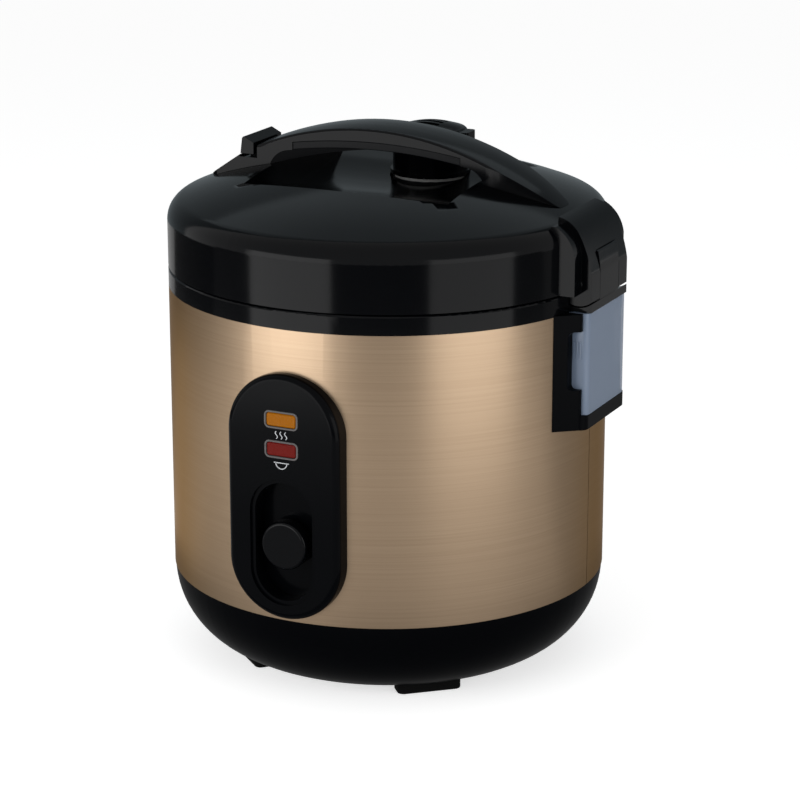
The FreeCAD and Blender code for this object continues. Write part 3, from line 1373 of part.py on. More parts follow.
def handle_outline():
    """The handle's side view, with a notch for the latch button and a rebate for the grip insert."""
    peak = f"({LID_BOTTOM} + handle_peak_rise)"
    top_axis = f"({peak} - handle_arc)"
    grip_axis = f"({peak} - grip_drop - grip_arc)"
    low = f"({LID_APEX} - handle_skirt)"
    end = "(-notch_end)"

    def top(x):
        return f"{top_axis} + sqrt(handle_arc^2 - ({x} - handle_centre)^2)"

    def under(x, extra="0"):
        return f"{grip_axis} + sqrt((grip_arc + {extra})^2 - ({x} - grip_centre)^2)"

    right, left = "(grip_centre + insert_half)", "(grip_centre - insert_half)"
    rebate = "(insert_thickness + seat_gap)"
    foot_right, foot_left = "(grip_centre + grip_foot)", "(grip_centre - grip_foot)"
    bend_right, bend_left = f"({foot_right} - leg_in)", f"({foot_left} + leg_in)"
    return [
        ("-handle_tail", low),
        ("-handle_tail", f"{LID_APEX} - tail_drop"),
        ("-(button_outer + fit_gap)", f"{LID_BOTTOM} + notch_lip"),
        ("-(button_outer + fit_gap)", NOTCH_FLOOR),
        (end, NOTCH_FLOOR),
        (end, top(end)),
        ("handle_shoulder", top("handle_shoulder"), "handle_arc", "right"),
        ("handle_tip", f"{LID_APEX} - tip_drop", "handle_tip_arc", "right"),
        ("handle_tip", low),
        (foot_right, low),
        (foot_right, f"{under(bend_right)} - leg_drop"),
        (bend_right, under(bend_right), "leg_curve", "left"),
        (right, under(right), "grip_arc", "left"),
        (right, under(right, rebate)),
        (left, under(left, rebate), f"(grip_arc + {rebate})", "left"),
        (left, under(left)),
        (bend_left, under(bend_left), "grip_arc", "left"),
        (foot_left, f"{under(bend_left)} - leg_drop", "leg_curve", "left"),
        (foot_left, low),
    ]


def handle_plan():
    """The handle from above: parallel sides that draw in to a narrow tip at the hinge end."""
    tail_in = "(handle_tail - handle_edge * 3)"
    return [
        ("-handle_tail", "-(handle_half - handle_edge * 3)"),
        (f"-{tail_in}", "-handle_half", "handle_edge * 3", "left"),
        ("grip_foot", "-handle_half"),
        ("handle_tip - handle_end_half / 2", "-handle_end_half", "plan_curve", "left"),
        ("handle_tip", "0", "handle_end_half * 1.2", "left"),
        ("handle_tip - handle_end_half / 2", "handle_end_half", "handle_end_half * 1.2", "left"),
        ("grip_foot", "handle_half", "plan_curve", "left"),
        (f"-{tail_in}", "handle_half"),
        ("-handle_tail", "handle_half - handle_edge * 3", "handle_edge * 3", "left"),
    ]


def crown(body, name):
    """Rounds the arch's back: turns the space above a crowned section about the arch's own axis."""
    peak = f"({LID_BOTTOM} + handle_peak_rise)"
    side, high = "handle_half + crown_room", f"{peak} + crown_room"
    edge = f"{peak} - handle_crown"
    flat = "(handle_half - handle_edge)"
    arch = f"(({flat})^2 + handle_crown^2) / (2 * handle_crown)"
    sketch = draw(body, name + "_section", "YZ", [[
        (f"-({side})", high),
        (f"-({side})", f"{edge} - handle_edge"),
        ("-handle_half", f"{edge} - handle_edge"),
        (f"-{flat}", edge, "handle_edge", "right"),
        (flat, edge, arch, "right"),
        ("handle_half", f"{edge} - handle_edge", "handle_edge", "right"),
        (side, f"{edge} - handle_edge"),
        (side, high),
    ]], "handle_centre")
    axis_level = f"{peak} - handle_arc"
    half = value("handle_half")
    ends = [Vector(turned_to * half, value(axis_level), 0) for turned_to in (-1, 1)]
    line = sketch.addGeometry(Part.LineSegment(*ends), True)
    sketch.addConstraint(Sketcher.Constraint("Horizontal", line))
    sketch.addConstraint(Sketcher.Constraint("DistanceX", line, 1, line, 2, 2 * half))
    sketch.addConstraint(Sketcher.Constraint("DistanceX", -1, 1, line, 1, -half))
    held = sketch.addConstraint(Sketcher.Constraint("DistanceY", -1, 1, line, 1, value(axis_level)))
    sketch.setExpression(f"Constraints[{held}]", bound(axis_level))
    groove = body.newObject("PartDesign::Groove", name)
    groove.Profile = sketch
    groove.ReferenceAxis = (sketch, ["Axis0"])
    groove.Angle = 90
    groove.Midplane = True
    return groove


def make_handle():
    """The arched handle: a crowned top moulding with both legs, and the insert under the grip."""
    top = new_body("handle_top")
    pad(top, "side_view", "XZ", [handle_outline()], "-handle_half", "handle_half")
    far = "(handle_tail + handle_tip)"
    pocket(top, "plan_view", "XY", [rectangle(f"-{far}", far, f"-{far}", far), handle_plan()],
           f"{LID_APEX} - handle_skirt - cut_past", f"{LID_APEX} + handle_peak_rise")
    crown(top, "crown")
    turn(top, "dome_seat", dome_outline("-seat_gap", f"{LID_BOTTOM} - cut_past"), "Groove")
    below = f"{LID_APEX} - handle_skirt - cut_past"
    way_in = f"{LATCH_X} + latch_boss + latch_room"
    pocket(top, "latch_way", "XZ", [[
        (f"{LATCH_X} - latch_boss - fit_gap * 3", below),
        (way_in, below),
        (way_in, LATCH_Z),
        ("-(button_inner - latch_room)", f"{NOTCH_FLOOR} + fit_gap"),
        (f"-({ARM_TOP} + fit_gap * 3)", f"{NOTCH_FLOOR} + fit_gap"),
        (f"-({ARM_TOP} + fit_gap * 3)", f"{ARM_BEND} + fit_gap * 3"),
        (f"{LATCH_X} - latch_boss - fit_gap * 3", LATCH_Z),
    ]], "-(latch_half + fit_gap * 2)", "latch_half + fit_gap * 2")
    pocket(top, "screw_holes", "XY", [circle(x, y, "screw_radius + seat_gap / 2") for x, y in screw_spots()],
           below, f"{LID_BOTTOM} + handle_screw_top + fit_gap")
    keep(top)

    peak = f"({LID_BOTTOM} + handle_peak_rise)"
    grip_axis = f"({peak} - grip_drop - grip_arc)"
    right, left = "(grip_centre + insert_half - seat_gap)", "(grip_centre - insert_half + seat_gap)"
    thick = "(grip_arc + insert_thickness)"
    insert = new_body("grip_insert")
    half = "(handle_half - seat_gap * 2)"
    pad(insert, "insert", "XZ", [[
        (left, f"{grip_axis} + sqrt({thick}^2 - ({left} - grip_centre)^2)"),
        (right, f"{grip_axis} + sqrt({thick}^2 - ({right} - grip_centre)^2)", thick, "right"),
        (right, f"{grip_axis} + sqrt(grip_arc^2 - ({right} - grip_centre)^2)"),
        (left, f"{grip_axis} + sqrt(grip_arc^2 - ({left} - grip_centre)^2)", "grip_arc", "left"),
    ]], f"-{half}", half)
    keep(insert)

    screws = new_body("handle_screws")
    for name, spots in (("tail", screw_spots()[:2]), ("tip", screw_spots()[2:])):
        reach = f"(handle_screw_{'tail' if name == 'tail' else 'front'} + screw_head)"
        seat = (f"{LID_APEX} - lid_dome - seat_gap + sqrt((lid_dome - lid_wall)^2 - {reach}^2"
                f" - (handle_screw_side + screw_head)^2)")
        pad(screws, name + "_shanks", "XY", [circle(x, y, "screw_radius") for x, y in spots], seat,
            f"{LID_BOTTOM} + handle_screw_top")
        pad(screws, name + "_heads", "XY", [circle(x, y, "screw_head") for x, y in spots],
            f"{seat} - screw_head_height", seat)
    keep(screws)


def make_latch():
    """The lid catch: a rocking lever with a button at its top and a hook that grips under the rim."""
    x, z = LATCH_X, LATCH_Z
    catch_low = f"({RIM_TOP} - rim_wall - catch_sheet)"
    nose_top = f"({catch_low} - hook_play)"
    nose_low = f"({nose_top} - hook_depth)"
    arm_in = "(-(hook_reach - latch_arm))"
    low, high = f"({LID_BOTTOM} + button_low)", f"({LID_BOTTOM} + button_high)"
    lever = new_body("latch_lever")
    pad(lever, "arm", "XZ", [[
        (arm_in, nose_top),
        (f"{arm_in} + hook_nose", nose_top),
        (f"{arm_in} + hook_nose * 0.7", nose_low),
        ("-hook_reach", nose_low),
        ("-hook_reach", f"{nose_low} + hook_shank"),
        (f"{x} - latch_boss", z),
        (f"-{ARM_TOP}", ARM_BEND),
        (f"-{ARM_TOP}", f"{low} + button_round"),
        ("-button_inner", f"{low} + button_round"),
        (f"{x} + latch_boss", z),
        (arm_in, f"{nose_low} + hook_shank"),
    ]], "-latch_half", "latch_half")
    pad(lever, "button", "XZ", [[
        ("-button_outer", low),
        ("-button_inner", low),
        ("-button_inner", f"{high} - button_fall"),
        ("-(button_outer - button_lean - button_round)", high),
        ("-(button_outer - button_lean)", f"{high} - button_round", "button_round", "left"),
    ]], "-button_half", "button_half")
    pocket(lever, "pivot_bore", "XZ", [circle(x, z, "latch_pin_radius + pin_play")],
           "-latch_half - cut_past", "latch_half + cut_past")
    coil_radius = "(latch_pin_radius + latch_wire / 2 + fit_gap)"
    recess = f"({coil_radius} + latch_wire / 2 + fit_gap)"
    pocket(lever, "spring_recess", "XZ", [[
        (x, f"{z} - {recess}", recess, "left"),
        (f"{x} + latch_boss * 2", f"{z} - {recess}"),
        (f"{x} + latch_boss * 2", f"{z} + {recess}"),
        (x, f"{z} + {recess}"),
        (f"{x} - {recess}", z, recess, "left"),
    ]], "-latch_recess", "latch_recess")
    keep(lever)
    pin = new_body("latch_pin")
    reach = "(latch_half + fit_gap + ear_thickness)"
    pad(pin, "pin", "XZ", [circle(x, z, "latch_pin_radius")], f"-{reach}", reach)
    keep(pin)
    room = value("2 * (latch_recess - fit_gap)")
    place = Placement(Vector(value(x), -room / 2, value(z)), Rotation(Vector(1, 0, 0), -90))
    keep(coil("latch_spring", value("latch_wire"), value(coil_radius), room, value("latch_turns"), place))


def make_vent():
    """The lift-off steam cap at the back of the well, its seat tube and sealing ring."""
    x, y = "vent_offset", "vent_back"
    spot = "(well_floor + seat_gap)"
    seat_out = "(vent_skirt + vent_seat_wall)"
    seat_in = "(vent_skirt + fit_gap)"
    flange_top = f"({spot} + seat_gap + vent_flange)"
    seat = turned("vent_seat", [
        (seat_in, f"{COVER_TOP} + seat_gap"),
        (seat_out, f"{COVER_TOP} + seat_gap"),
        (seat_out, f"{spot} + seat_gap"),
        ("vent_radius", f"{spot} + seat_gap"),
        ("vent_radius", flange_top),
        (seat_in, flange_top),
    ], x, y)
    keep(seat)
    base = f"({flange_top} + vent_seal + fit_gap)"
    skirt_low = f"({base} - vent_skirt_depth)"
    top = f"({base} + vent_height)"
    brow = f"({top} - vent_dome)"
    dome = "(vent_radius - vent_round)"
    inside = "(vent_radius - vent_wall)"
    tube = "(vent_skirt - vent_tube_wall)"
    cap = new_body("vent_cap", x, y)
    turn(cap, "cap", [
        (tube, skirt_low),
        ("vent_skirt", skirt_low),
        ("vent_skirt", base),
        ("vent_radius + vent_ring", base),
        ("vent_radius + vent_ring", f"{base} + vent_ring_height"),
        ("vent_radius", f"{base} + vent_ring_height"),
        ("vent_radius", f"{brow} - vent_round"),
        ("vent_radius - vent_round", brow, "vent_round", "left"),
        ("0", top, f"({dome}^2 + vent_dome^2) / (2 * vent_dome)", "left"),
        ("0", f"{brow} - vent_roof"),
        (inside, f"{brow} - vent_roof"),
        (inside, f"{base} + vent_wall"),
        (tube, f"{base} + vent_wall"),
    ])
    pad(cap, "tab", "XY", [rounded(f"{inside} + vent_wall / 4", "vent_radius + vent_tab_reach",
                                   "-vent_tab_half",
                                   "vent_tab_half", "vent_tab_reach * 0.6")],
        f"{brow} - vent_tab_height", f"{brow} - vent_round / 4")
    slots = [rounded("-(vent_slot_length / 2)", "vent_slot_length / 2", f"{row} - vent_slot_width / 2",
                     f"{row} + vent_slot_width / 2", "vent_slot_width * 0.4")
             for row in ("-vent_slot_width * 1.8", "0 * vent_slot_width", "vent_slot_width * 1.8")]
    pocket(cap, "slots", "XY", slots, f"{brow} - vent_roof - cut_past", f"{top} + cut_past")
    keep(cap)
    keep(turned("vent_seal_ring", [
        (seat_in, f"{flange_top}"),
        ("vent_radius - vent_seal_inset", f"{flange_top}"),
        ("vent_radius - vent_seal_inset", f"{flange_top} + vent_seal"),
        (seat_in, f"{flange_top} + vent_seal"),
    ], x, y))


make_base()
make_shell()
make_rim()
make_pot()
make_heating()
make_thermostat()
make_linkage()
make_panel()
make_inlet()
make_collector()
make_hinge()
make_lid_shell()
make_lid_lining()
make_handle()
make_latch()
make_vent()
doc.recompute()

faults = [f"{item.Label}: {item.State}" for item in doc.Objects if {"Invalid", "Error"} & set(item.State)]
for feature in doc.Objects:
    if feature.TypeId in ("PartDesign::Pocket", "PartDesign::Groove") and feature.BaseFeature:
        if feature.BaseFeature.Shape.Volume - feature.Shape.Volume < 1e-3:
            faults.append(f"{feature.Label} cuts nothing")
for label, piece in pieces.items():
    if piece.Shape.isNull() or not piece.Shape.isValid() or not piece.Shape.Solids:
        faults.append(f"{label}: no valid solid")
if faults:
    raise SystemExit("the model has faults:\n" + "\n".join(faults))

os.makedirs("parts", exist_ok=True)
for label, piece in pieces.items():
    piece.Shape.exportStep(f"parts/{label}.step")
print(f"{len(pieces)} pieces written")
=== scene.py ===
import math

import bmesh
import bpy
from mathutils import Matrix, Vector


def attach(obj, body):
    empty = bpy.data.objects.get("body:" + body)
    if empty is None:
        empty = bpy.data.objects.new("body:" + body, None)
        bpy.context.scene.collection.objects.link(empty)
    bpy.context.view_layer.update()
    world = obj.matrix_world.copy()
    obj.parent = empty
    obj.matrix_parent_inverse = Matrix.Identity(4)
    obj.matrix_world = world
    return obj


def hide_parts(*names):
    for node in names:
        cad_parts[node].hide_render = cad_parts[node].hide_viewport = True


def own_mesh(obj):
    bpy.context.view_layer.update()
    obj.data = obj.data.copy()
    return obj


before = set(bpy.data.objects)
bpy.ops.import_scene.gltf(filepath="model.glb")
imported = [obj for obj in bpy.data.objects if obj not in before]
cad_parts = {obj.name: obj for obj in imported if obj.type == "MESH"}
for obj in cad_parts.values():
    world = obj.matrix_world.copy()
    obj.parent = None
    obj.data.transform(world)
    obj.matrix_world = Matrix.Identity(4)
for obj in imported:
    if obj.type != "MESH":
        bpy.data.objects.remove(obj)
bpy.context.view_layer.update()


# Base housing: the bowl that carries everything, moulded in black plastic with a soft shine. It is one piece
# with the lip that the shell slips over. The mould rounds its edges, and a fine waviness breaks its gloss.
class Socket:
    """One output of a node, with arithmetic that adds Math nodes to its tree."""

    def __init__(self, tree, output):
        self.tree = tree
        self.output = output

    def math(self, operation, *values):
        sockets = dict(enumerate((self, *values)))
        return self.tree.make("ShaderNodeMath", {"operation": operation}, sockets)

    def __add__(self, other):
        return self.math("ADD", other)

    __radd__ = __add__

    def __mul__(self, other):
        return self.math("MULTIPLY", other)

    __rmul__ = __mul__


class Tree:
    """A node tree that is filled by one method."""

    def __init__(self, tree):
        self.tree = tree

    def make(self, kind, settings=None, sockets=None, output=0):
        """Adds a node: its settings first, a ramp's two stops among them, then its sockets' values or links.

        A list links several outputs to one socket.
        """
        node = self.tree.nodes.new(kind)
        for name, value in (settings or {}).items():
            if name == "stops":
                for element, (position, colour) in zip(node.color_ramp.elements, value):
                    element.position = position
                    element.color = colour
            else:
                setattr(node, name, value)
        for key, value in (sockets or {}).items():
            for entry in value if isinstance(value, list) else [value]:
                if isinstance(entry, Socket):
                    self.tree.links.new(entry.output, node.inputs[key])
                else:
                    node.inputs[key].default_value = entry
        return Socket(self, node.outputs[output]) if node.outputs else None


class Finish(Tree):
    """The node tree of a new material, or of the world it is given."""

    def __init__(self, name, world=None):
        self.material = world or bpy.data.materials.new(name)
        self.material.use_nodes = True
        super().__init__(self.material.node_tree)
        self.tree.nodes.clear()

    def noise(self, scale=1.0, detail=2.0, stretch=(1, 1, 1)):
        """Noise on the piece's own coordinates, stretched."""
        coordinates = self.make("ShaderNodeTexCoord", output="Object")
        place = self.make("ShaderNodeMapping", None, {"Vector": coordinates, "Scale": stretch})
        return self.make("ShaderNodeTexNoise", None, {"Vector": place, "Scale": scale, "Detail": detail})

    def bump(self, height, strength, distance):
        return self.make("ShaderNodeBump", None,
                         {"Height": height, "Strength": strength, "Distance": distance})

    def surface(self, **sockets):
        """A Principled surface on the material's output. An underscore stands for a blank."""
        shader = self.make("ShaderNodeBsdfPrincipled", None,
                           {key.replace("_", " "): value for key, value in sockets.items()})
        self.make("ShaderNodeOutputMaterial", None, {"Surface": shader})
        return self.material


def black_moulding(name, colour, roughness, wave, shine=0.09):
    """Black plastic whose gloss wavers a little."""
    waver = 0.06
    finish = Finish(name)
    unevenness = finish.noise(scale=38.0)
    height = finish.noise(scale=55.0, detail=1.0)
    return finish.surface(Base_Color=(*colour, 1), Roughness=unevenness * waver + (roughness - waver / 2),
                          Specular_IOR_Level=shine, Normal=finish.bump(height, wave, distance=0.0004))


def stand_in(node, body, material, rounding=0.0):
    """A finished piece in a CAD node's place: its mesh joined up, shaded smooth, its edges rounded off."""
    same_place = 1e-6
    flat = math.radians(0.2)
    sharp = math.radians(32.0)
    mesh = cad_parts[node].data.copy()
    work = bmesh.new()
    work.from_mesh(mesh)
    bmesh.ops.remove_doubles(work, verts=work.verts, dist=same_place)
    bmesh.ops.dissolve_limit(work, angle_limit=flat, verts=work.verts, edges=work.edges)
    work.to_mesh(mesh)
    work.free()
    mesh.materials.clear()
    mesh.materials.append(material)
    mesh.polygons.foreach_set("use_smooth", [True] * len(mesh.polygons))
    mesh.polygons.foreach_set("material_index", [0] * len(mesh.polygons))
    mesh.set_sharp_from_angle(angle=sharp)
    piece = bpy.data.objects.new(node + "_finish", mesh)
    bpy.context.scene.collection.objects.link(piece)
    if rounding:
        bevel = piece.modifiers.new("mould_radius", "BEVEL")
        bevel.width = rounding
        bevel.segments = 2
        bevel.limit_method = "ANGLE"
        bevel.angle_limit = sharp
        bevel.harden_normals = True
    shading = piece.modifiers.new("even_shading", "WEIGHTED_NORMAL")
    shading.keep_sharp = True
    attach(piece, body)
    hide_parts(node)
    return piece


deep_black = (0.0012, 0.0014, 0.0019)
base_black = black_moulding("base_black", deep_black, roughness=0.3, wave=0.04, shine=0.02)
stand_in("base_housing", "body", base_black, rounding=0.0004)


# Feet: four moulded blocks of black rubber, set into the underside of the bowl. Their edges are rounded, and
# a fine grain keeps them from slipping.
rubber = Finish("foot_rubber")
rubber_grain = rubber.bump(rubber.noise(scale=900.0), strength=0.2, distance=0.0003)
foot_rubber = rubber.surface(Base_Color=(0.003, 0.003, 0.003, 1), Roughness=0.7, Specular_IOR_Level=0.05,
                             Normal=rubber_grain)
stand_in("feet", "body", foot_rubber, rounding=0.0008)


# Bottom cover: a pressed disc of plain sheet steel with cooling slots. It closes the bowl from below and is
# held by bright steel screws.
def dress(material, *nodes):
    """Gives CAD nodes, kept as they are, their finish."""
    for node in nodes:
        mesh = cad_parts[node].data
        mesh.materials.clear()
        mesh.materials.append(material)


sheet = Finish("plain_sheet_steel")
plain_steel = sheet.surface(Base_Color=(0.5, 0.51, 0.52, 1), Metallic=1.0,
                            Roughness=sheet.noise(scale=120.0) * 0.1 + 0.3)
dress(plain_steel, "bottom_cover")
bright = Finish("bright_steel")
bright_steel = bright.surface(Base_Color=(0.62, 0.63, 0.64, 1), Metallic=1.0, Roughness=0.22)
dress(bright_steel, "cover_screws")


# Outer shell: sheet steel rolled to a cylinder, brushed round the body and tinted champagne gold. The brush
# marks are long, level scratches that show in the colour, the gloss and the relief.
gold = Finish("brushed_gold")
fine_scratches = gold.noise(stretch=(14.0, 14.0, 5200.0))
broad_scratches = gold.noise(stretch=(4.0, 4.0, 900.0))
fine_share = 0.55
scratches = fine_scratches * fine_share + broad_scratches * (1 - fine_share)
dark_gold = (0.28, 0.201, 0.133, 1)
light_gold = (0.325, 0.239, 0.161, 1)
gold_colour = gold.make("ShaderNodeValToRGB", {"stops": [(0.3, dark_gold), (0.7, light_gold)]},
                        {"Fac": scratches})
brushed_gold = gold.surface(Base_Color=gold_colour, Metallic=1.0, Roughness=scratches * 0.08 + 0.3,
                            Specular_Tint=(0.6, 0.46, 0.33, 1),
                            Normal=gold.bump(scratches, strength=0.05, distance=0.0002))
stand_in("outer_shell", "body", brushed_gold, rounding=0.0004)


# Upper rim: the glossy black ring that closes the shell, with the pot's seat, the hinge's trough and the
# latch's slot, where a steel catch sits. The satin chute in it leads the dew to the cup.
gloss_black = black_moulding("gloss_black", deep_black, roughness=0.13, wave=0.04)
stand_in("upper_rim", "body", gloss_black, rounding=0.0003)
satin_black = black_moulding("satin_black", (0.003, 0.0033, 0.004), roughness=0.4, wave=0.1)
dress(satin_black, "drain_spout")
dress(plain_steel, "latch_catch")


# Inner pot: drawn from aluminium with a satin coat, hanging in the rim by its brim. Five level marks are
# printed inside it. A steel liner with a warming band stands round it.
class Pattern(Tree):
    """A Geometry Nodes tree with named sizes, whose result becomes a plain mesh."""

    def __init__(self, name, **sizes):
        super().__init__(bpy.data.node_groups.new(name, "GeometryNodeTree"))
        self.tree.interface.new_socket("Geometry", in_out="OUTPUT", socket_type="NodeSocketGeometry")
        self.values = {}
        for size, value in sizes.items():
            socket = self.tree.interface.new_socket(size, in_out="INPUT", socket_type="NodeSocketFloat")
            self.values[socket.identifier] = value
        self.size = {size: self.make("NodeGroupInput", output=size) for size in sizes}

    def vector(self, x=0.0, y=0.0, z=0.0):
        return self.make("ShaderNodeCombineXYZ", None, {"X": x, "Y": y, "Z": z})

    def piece(self, shape, material, body, slot):
        """The finished mesh, riding a body."""
        real = self.make("GeometryNodeRealizeInstances", None, {"Geometry": shape})
        coloured = self.make("GeometryNodeSetMaterial", None, {"Geometry": real, "Material": material})
        self.make("NodeGroupOutput", None, {"Geometry": coloured})
        piece = bpy.data.objects.new(self.tree.name, bpy.data.meshes.new(self.tree.name))
        bpy.context.scene.collection.objects.link(piece)
        modifier = piece.modifiers.new("pattern", "NODES")
        modifier.node_group = self.tree
        for identifier, value in self.values.items():
            modifier[identifier] = value
        evaluated = piece.evaluated_get(bpy.context.evaluated_depsgraph_get())
        mesh = bpy.data.meshes.new_from_object(evaluated)
        piece.modifiers.remove(modifier)
        piece.data = mesh
        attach(piece, body)


coat = Finish("pot_satin")
pot_satin = coat.surface(Base_Color=(0.36, 0.365, 0.37, 1), Metallic=1.0,
                         Roughness=coat.noise(stretch=(30.0, 30.0, 900.0)) * 0.1 + 0.32)
for node in ("inner_pot", "pot_bend", "pot_base"):
    stand_in(node, "body", pot_satin)
dress(plain_steel, "inner_liner", "keep_warm_band")

mark = Finish("pot_mark")
dark_mark = mark.surface(Base_Color=(0.05, 0.05, 0.052, 1), Roughness=0.5)
levels = Pattern("level_marks", Length=0.012, Depth=0.0005, Stroke=0.0009, Pitch=0.016, Lowest=0.112,
                 Wall=0.08785)
bar = levels.make("GeometryNodeMeshCube", None, {
    "Size": levels.vector(levels.size["Length"], levels.size["Depth"], levels.size["Stroke"])})
ladder = levels.make("GeometryNodeMeshLine", None, {
    "Count": 5, "Start Location": levels.vector(0.0, levels.size["Wall"], levels.size["Lowest"]),
    "Offset": levels.vector(z=levels.size["Pitch"])})
bars = levels.make("GeometryNodeInstanceOnPoints", None, {"Points": ladder, "Instance": bar})
front_turn = math.radians(26)
turned_bars = levels.make("GeometryNodeTransform", None, {"Geometry": bars, "Rotation": (0, 0, front_turn)})
levels.piece(turned_bars, dark_mark, "body", "pot_coat")


# Heating plate and thermostat: a cast aluminium plate on steel stands, with a cap in its middle that a coil
# spring presses up against the pot. The cap holds a ferrite block, and a magnet on a rod hangs below it.
alu = Finish("satin_aluminium")
satin_aluminium = alu.surface(Base_Color=(0.62, 0.63, 0.64, 1), Metallic=1.0,
                              Roughness=alu.noise(scale=200.0) * 0.1 + 0.3)
dress(satin_aluminium, "heat_plate", "sensor_cap")
dress(bright_steel, "plate_stands")
dress(plain_steel, "thermostat_sleeve")
spring = stand_in("thermostat_spring", "body", bright_steel)
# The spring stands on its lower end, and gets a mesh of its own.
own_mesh(spring)
iron = Finish("dark_iron")
dark_iron = iron.surface(Base_Color=(0.06, 0.06, 0.065, 1), Roughness=0.55)
dress(dark_iron, "ferrite_block", "magnet_rod")


# Cook linkage and wiring parts: a stamped steel rocker on a pin in its bracket, the switch that it works,
# the fuse and the lamps' holder in beige plastic, and the brass terminals of the plate.
dress(plain_steel, "rocker", "rocker_bracket")
dress(bright_steel, "rocker_pin")
beige = Finish("beige_plastic")
beige_plastic = beige.surface(Base_Color=(0.55, 0.5, 0.4, 1), Roughness=0.5)
dress(beige_plastic, "microswitch", "lamp_holder", "thermal_fuse")
brass = Finish("contact_brass")
contact_brass = brass.surface(Base_Color=(0.6, 0.44, 0.2, 1), Metallic=1.0, Roughness=0.28)
dress(contact_brass, "heater_terminals")


# Control panel and inlet: a raised black moulding screwed on from inside, with a stepped well for the knob,
# which slides down in it. The inlet at the back is satin plastic with brass blades.
panel_black = black_moulding("panel_black", (0.001, 0.0012, 0.0017), roughness=0.16, wave=0.04, shine=0.04)
stand_in("control_panel", "body", panel_black, rounding=0.0007)
dress(bright_steel, "panel_screws")
stand_in("cook_knob", "cook_knob", gloss_black, rounding=0.0003)
stand_in("power_inlet", "body", satin_black, rounding=0.0004)
dress(contact_brass, "inlet_blades")


# Lamps: two moulded lenses, amber and red, that sit in grey frames on the panel. A neon lamp in glass stands
# behind each.
def tinted_lens(name, colour):
    """Tinted plastic with a ribbed face."""
    finish = Finish(name)
    ribs = finish.noise(detail=1.0, stretch=(900.0, 1.0, 160.0))
    return finish.surface(Base_Color=(*colour, 1), Roughness=0.18, Specular_IOR_Level=0.06,
                          Normal=finish.bump(ribs, strength=0.35, distance=0.0004))


amber_lens = tinted_lens("amber_lens", (0.27, 0.088, 0.0008))
stand_in("warm_lens", "body", amber_lens, rounding=0.0008)
red_lens = tinted_lens("red_lens", (0.115, 0.007, 0.005))
stand_in("cook_lens", "body", red_lens, rounding=0.0008)
trim = Finish("pale_trim")
pale_trim = trim.surface(Base_Color=(0.085, 0.08, 0.08, 1), Roughness=0.3, Specular_IOR_Level=0.2)
stand_in("lamp_bezels", "body", pale_trim, rounding=0.0003)
glass = Finish("lamp_glass")
lamp_glass = glass.surface(Base_Color=(0.9, 0.85, 0.8, 1), Roughness=0.05, Transmission_Weight=0.9)
dress(lamp_glass, "neon_lamps")


# Panel marks: small printed signs under the lamps, three waves of heat for keeping warm and a bowl for
# cooking, raised a little from the panel in a pale ink.
def stroke(pattern, path):
    """A printed line along a path, with closed ends."""
    pen = pattern.make("GeometryNodeCurvePrimitiveQuadrilateral", None,
                       {"Width": pattern.size["Stroke"], "Height": pattern.size["Stroke"]}, output="Curve")
    return pattern.make("GeometryNodeCurveToMesh", None,
                        {"Curve": path, "Profile Curve": pen, "Fill Caps": True})


ink = Finish("pale_ink")
pale_ink = ink.surface(Base_Color=(0.5, 0.51, 0.53, 1), Roughness=0.5, Specular_IOR_Level=0.2)
panel_face = -0.121
warm_foot = 0.1464
heat = Pattern("warm_mark", Stroke=0.0004, Height=0.0038, Sway=0.0006, Pitch=0.0026)
straight = heat.make("GeometryNodeCurvePrimitiveLine", None,
                     {"Start": (0, 0, 0), "End": heat.vector(z=heat.size["Height"])})
fine_line = heat.make("GeometryNodeResampleCurve", None, {"Curve": straight, "Count": 13})
phase = heat.make("GeometryNodeSplineParameter", output="Factor") * math.tau
wave_line = heat.make("GeometryNodeSetPosition", None, {
    "Geometry": fine_line, "Offset": heat.vector(x=phase.math("SINE") * heat.size["Sway"])})
wave_row = heat.make("GeometryNodeMeshLine", None, {
    "Count": 3, "Start Location": heat.vector(heat.size["Pitch"] * -1, panel_face, warm_foot),
    "Offset": heat.vector(heat.size["Pitch"])})
waves = heat.make("GeometryNodeInstanceOnPoints", None,
                  {"Points": wave_row, "Instance": stroke(heat, wave_line)})
heat.piece(waves, pale_ink, "body", "pale_trim")

bowl_brim = 0.1340
brim_reach = 1.35
bowl = Pattern("cook_mark", Stroke=0.0004, Radius=0.0031)
half_ring = bowl.make("GeometryNodeCurveArc", {"mode": "RADIUS"}, {
    "Resolution": 17, "Radius": bowl.size["Radius"], "Start Angle": math.pi, "Sweep Angle": math.pi},
    output="Curve")
brim = bowl.make("GeometryNodeCurvePrimitiveLine", None, {
    "Start": bowl.vector(bowl.size["Radius"] * -brim_reach),
    "End": bowl.vector(bowl.size["Radius"] * brim_reach)})
bowl_lines = bowl.make("GeometryNodeJoinGeometry", None, {"Geometry": [half_ring, brim]})
upright_bowl = bowl.make("GeometryNodeTransform", None, {
    "Geometry": stroke(bowl, bowl_lines), "Translation": (0, panel_face, bowl_brim),
    "Rotation": (math.pi / 2, 0, 0)})
bowl.piece(upright_bowl, pale_ink, "body", "pale_trim")


# Dew collector: a cup moulded in clear plastic with a blue cast, which slides into a black cradle under the
# hinge. The cradle stays on the body.
cup = Finish("clear_cup")
clear_cup = cup.surface(Base_Color=(0.19, 0.24, 0.325, 1), Roughness=0.12, Alpha=0.7,
                        Specular_IOR_Level=0.25)
stand_in("dew_collector", "dew_collector", clear_cup, rounding=0.0004)
stand_in("collector_cradle", "body", base_black, rounding=0.0004)


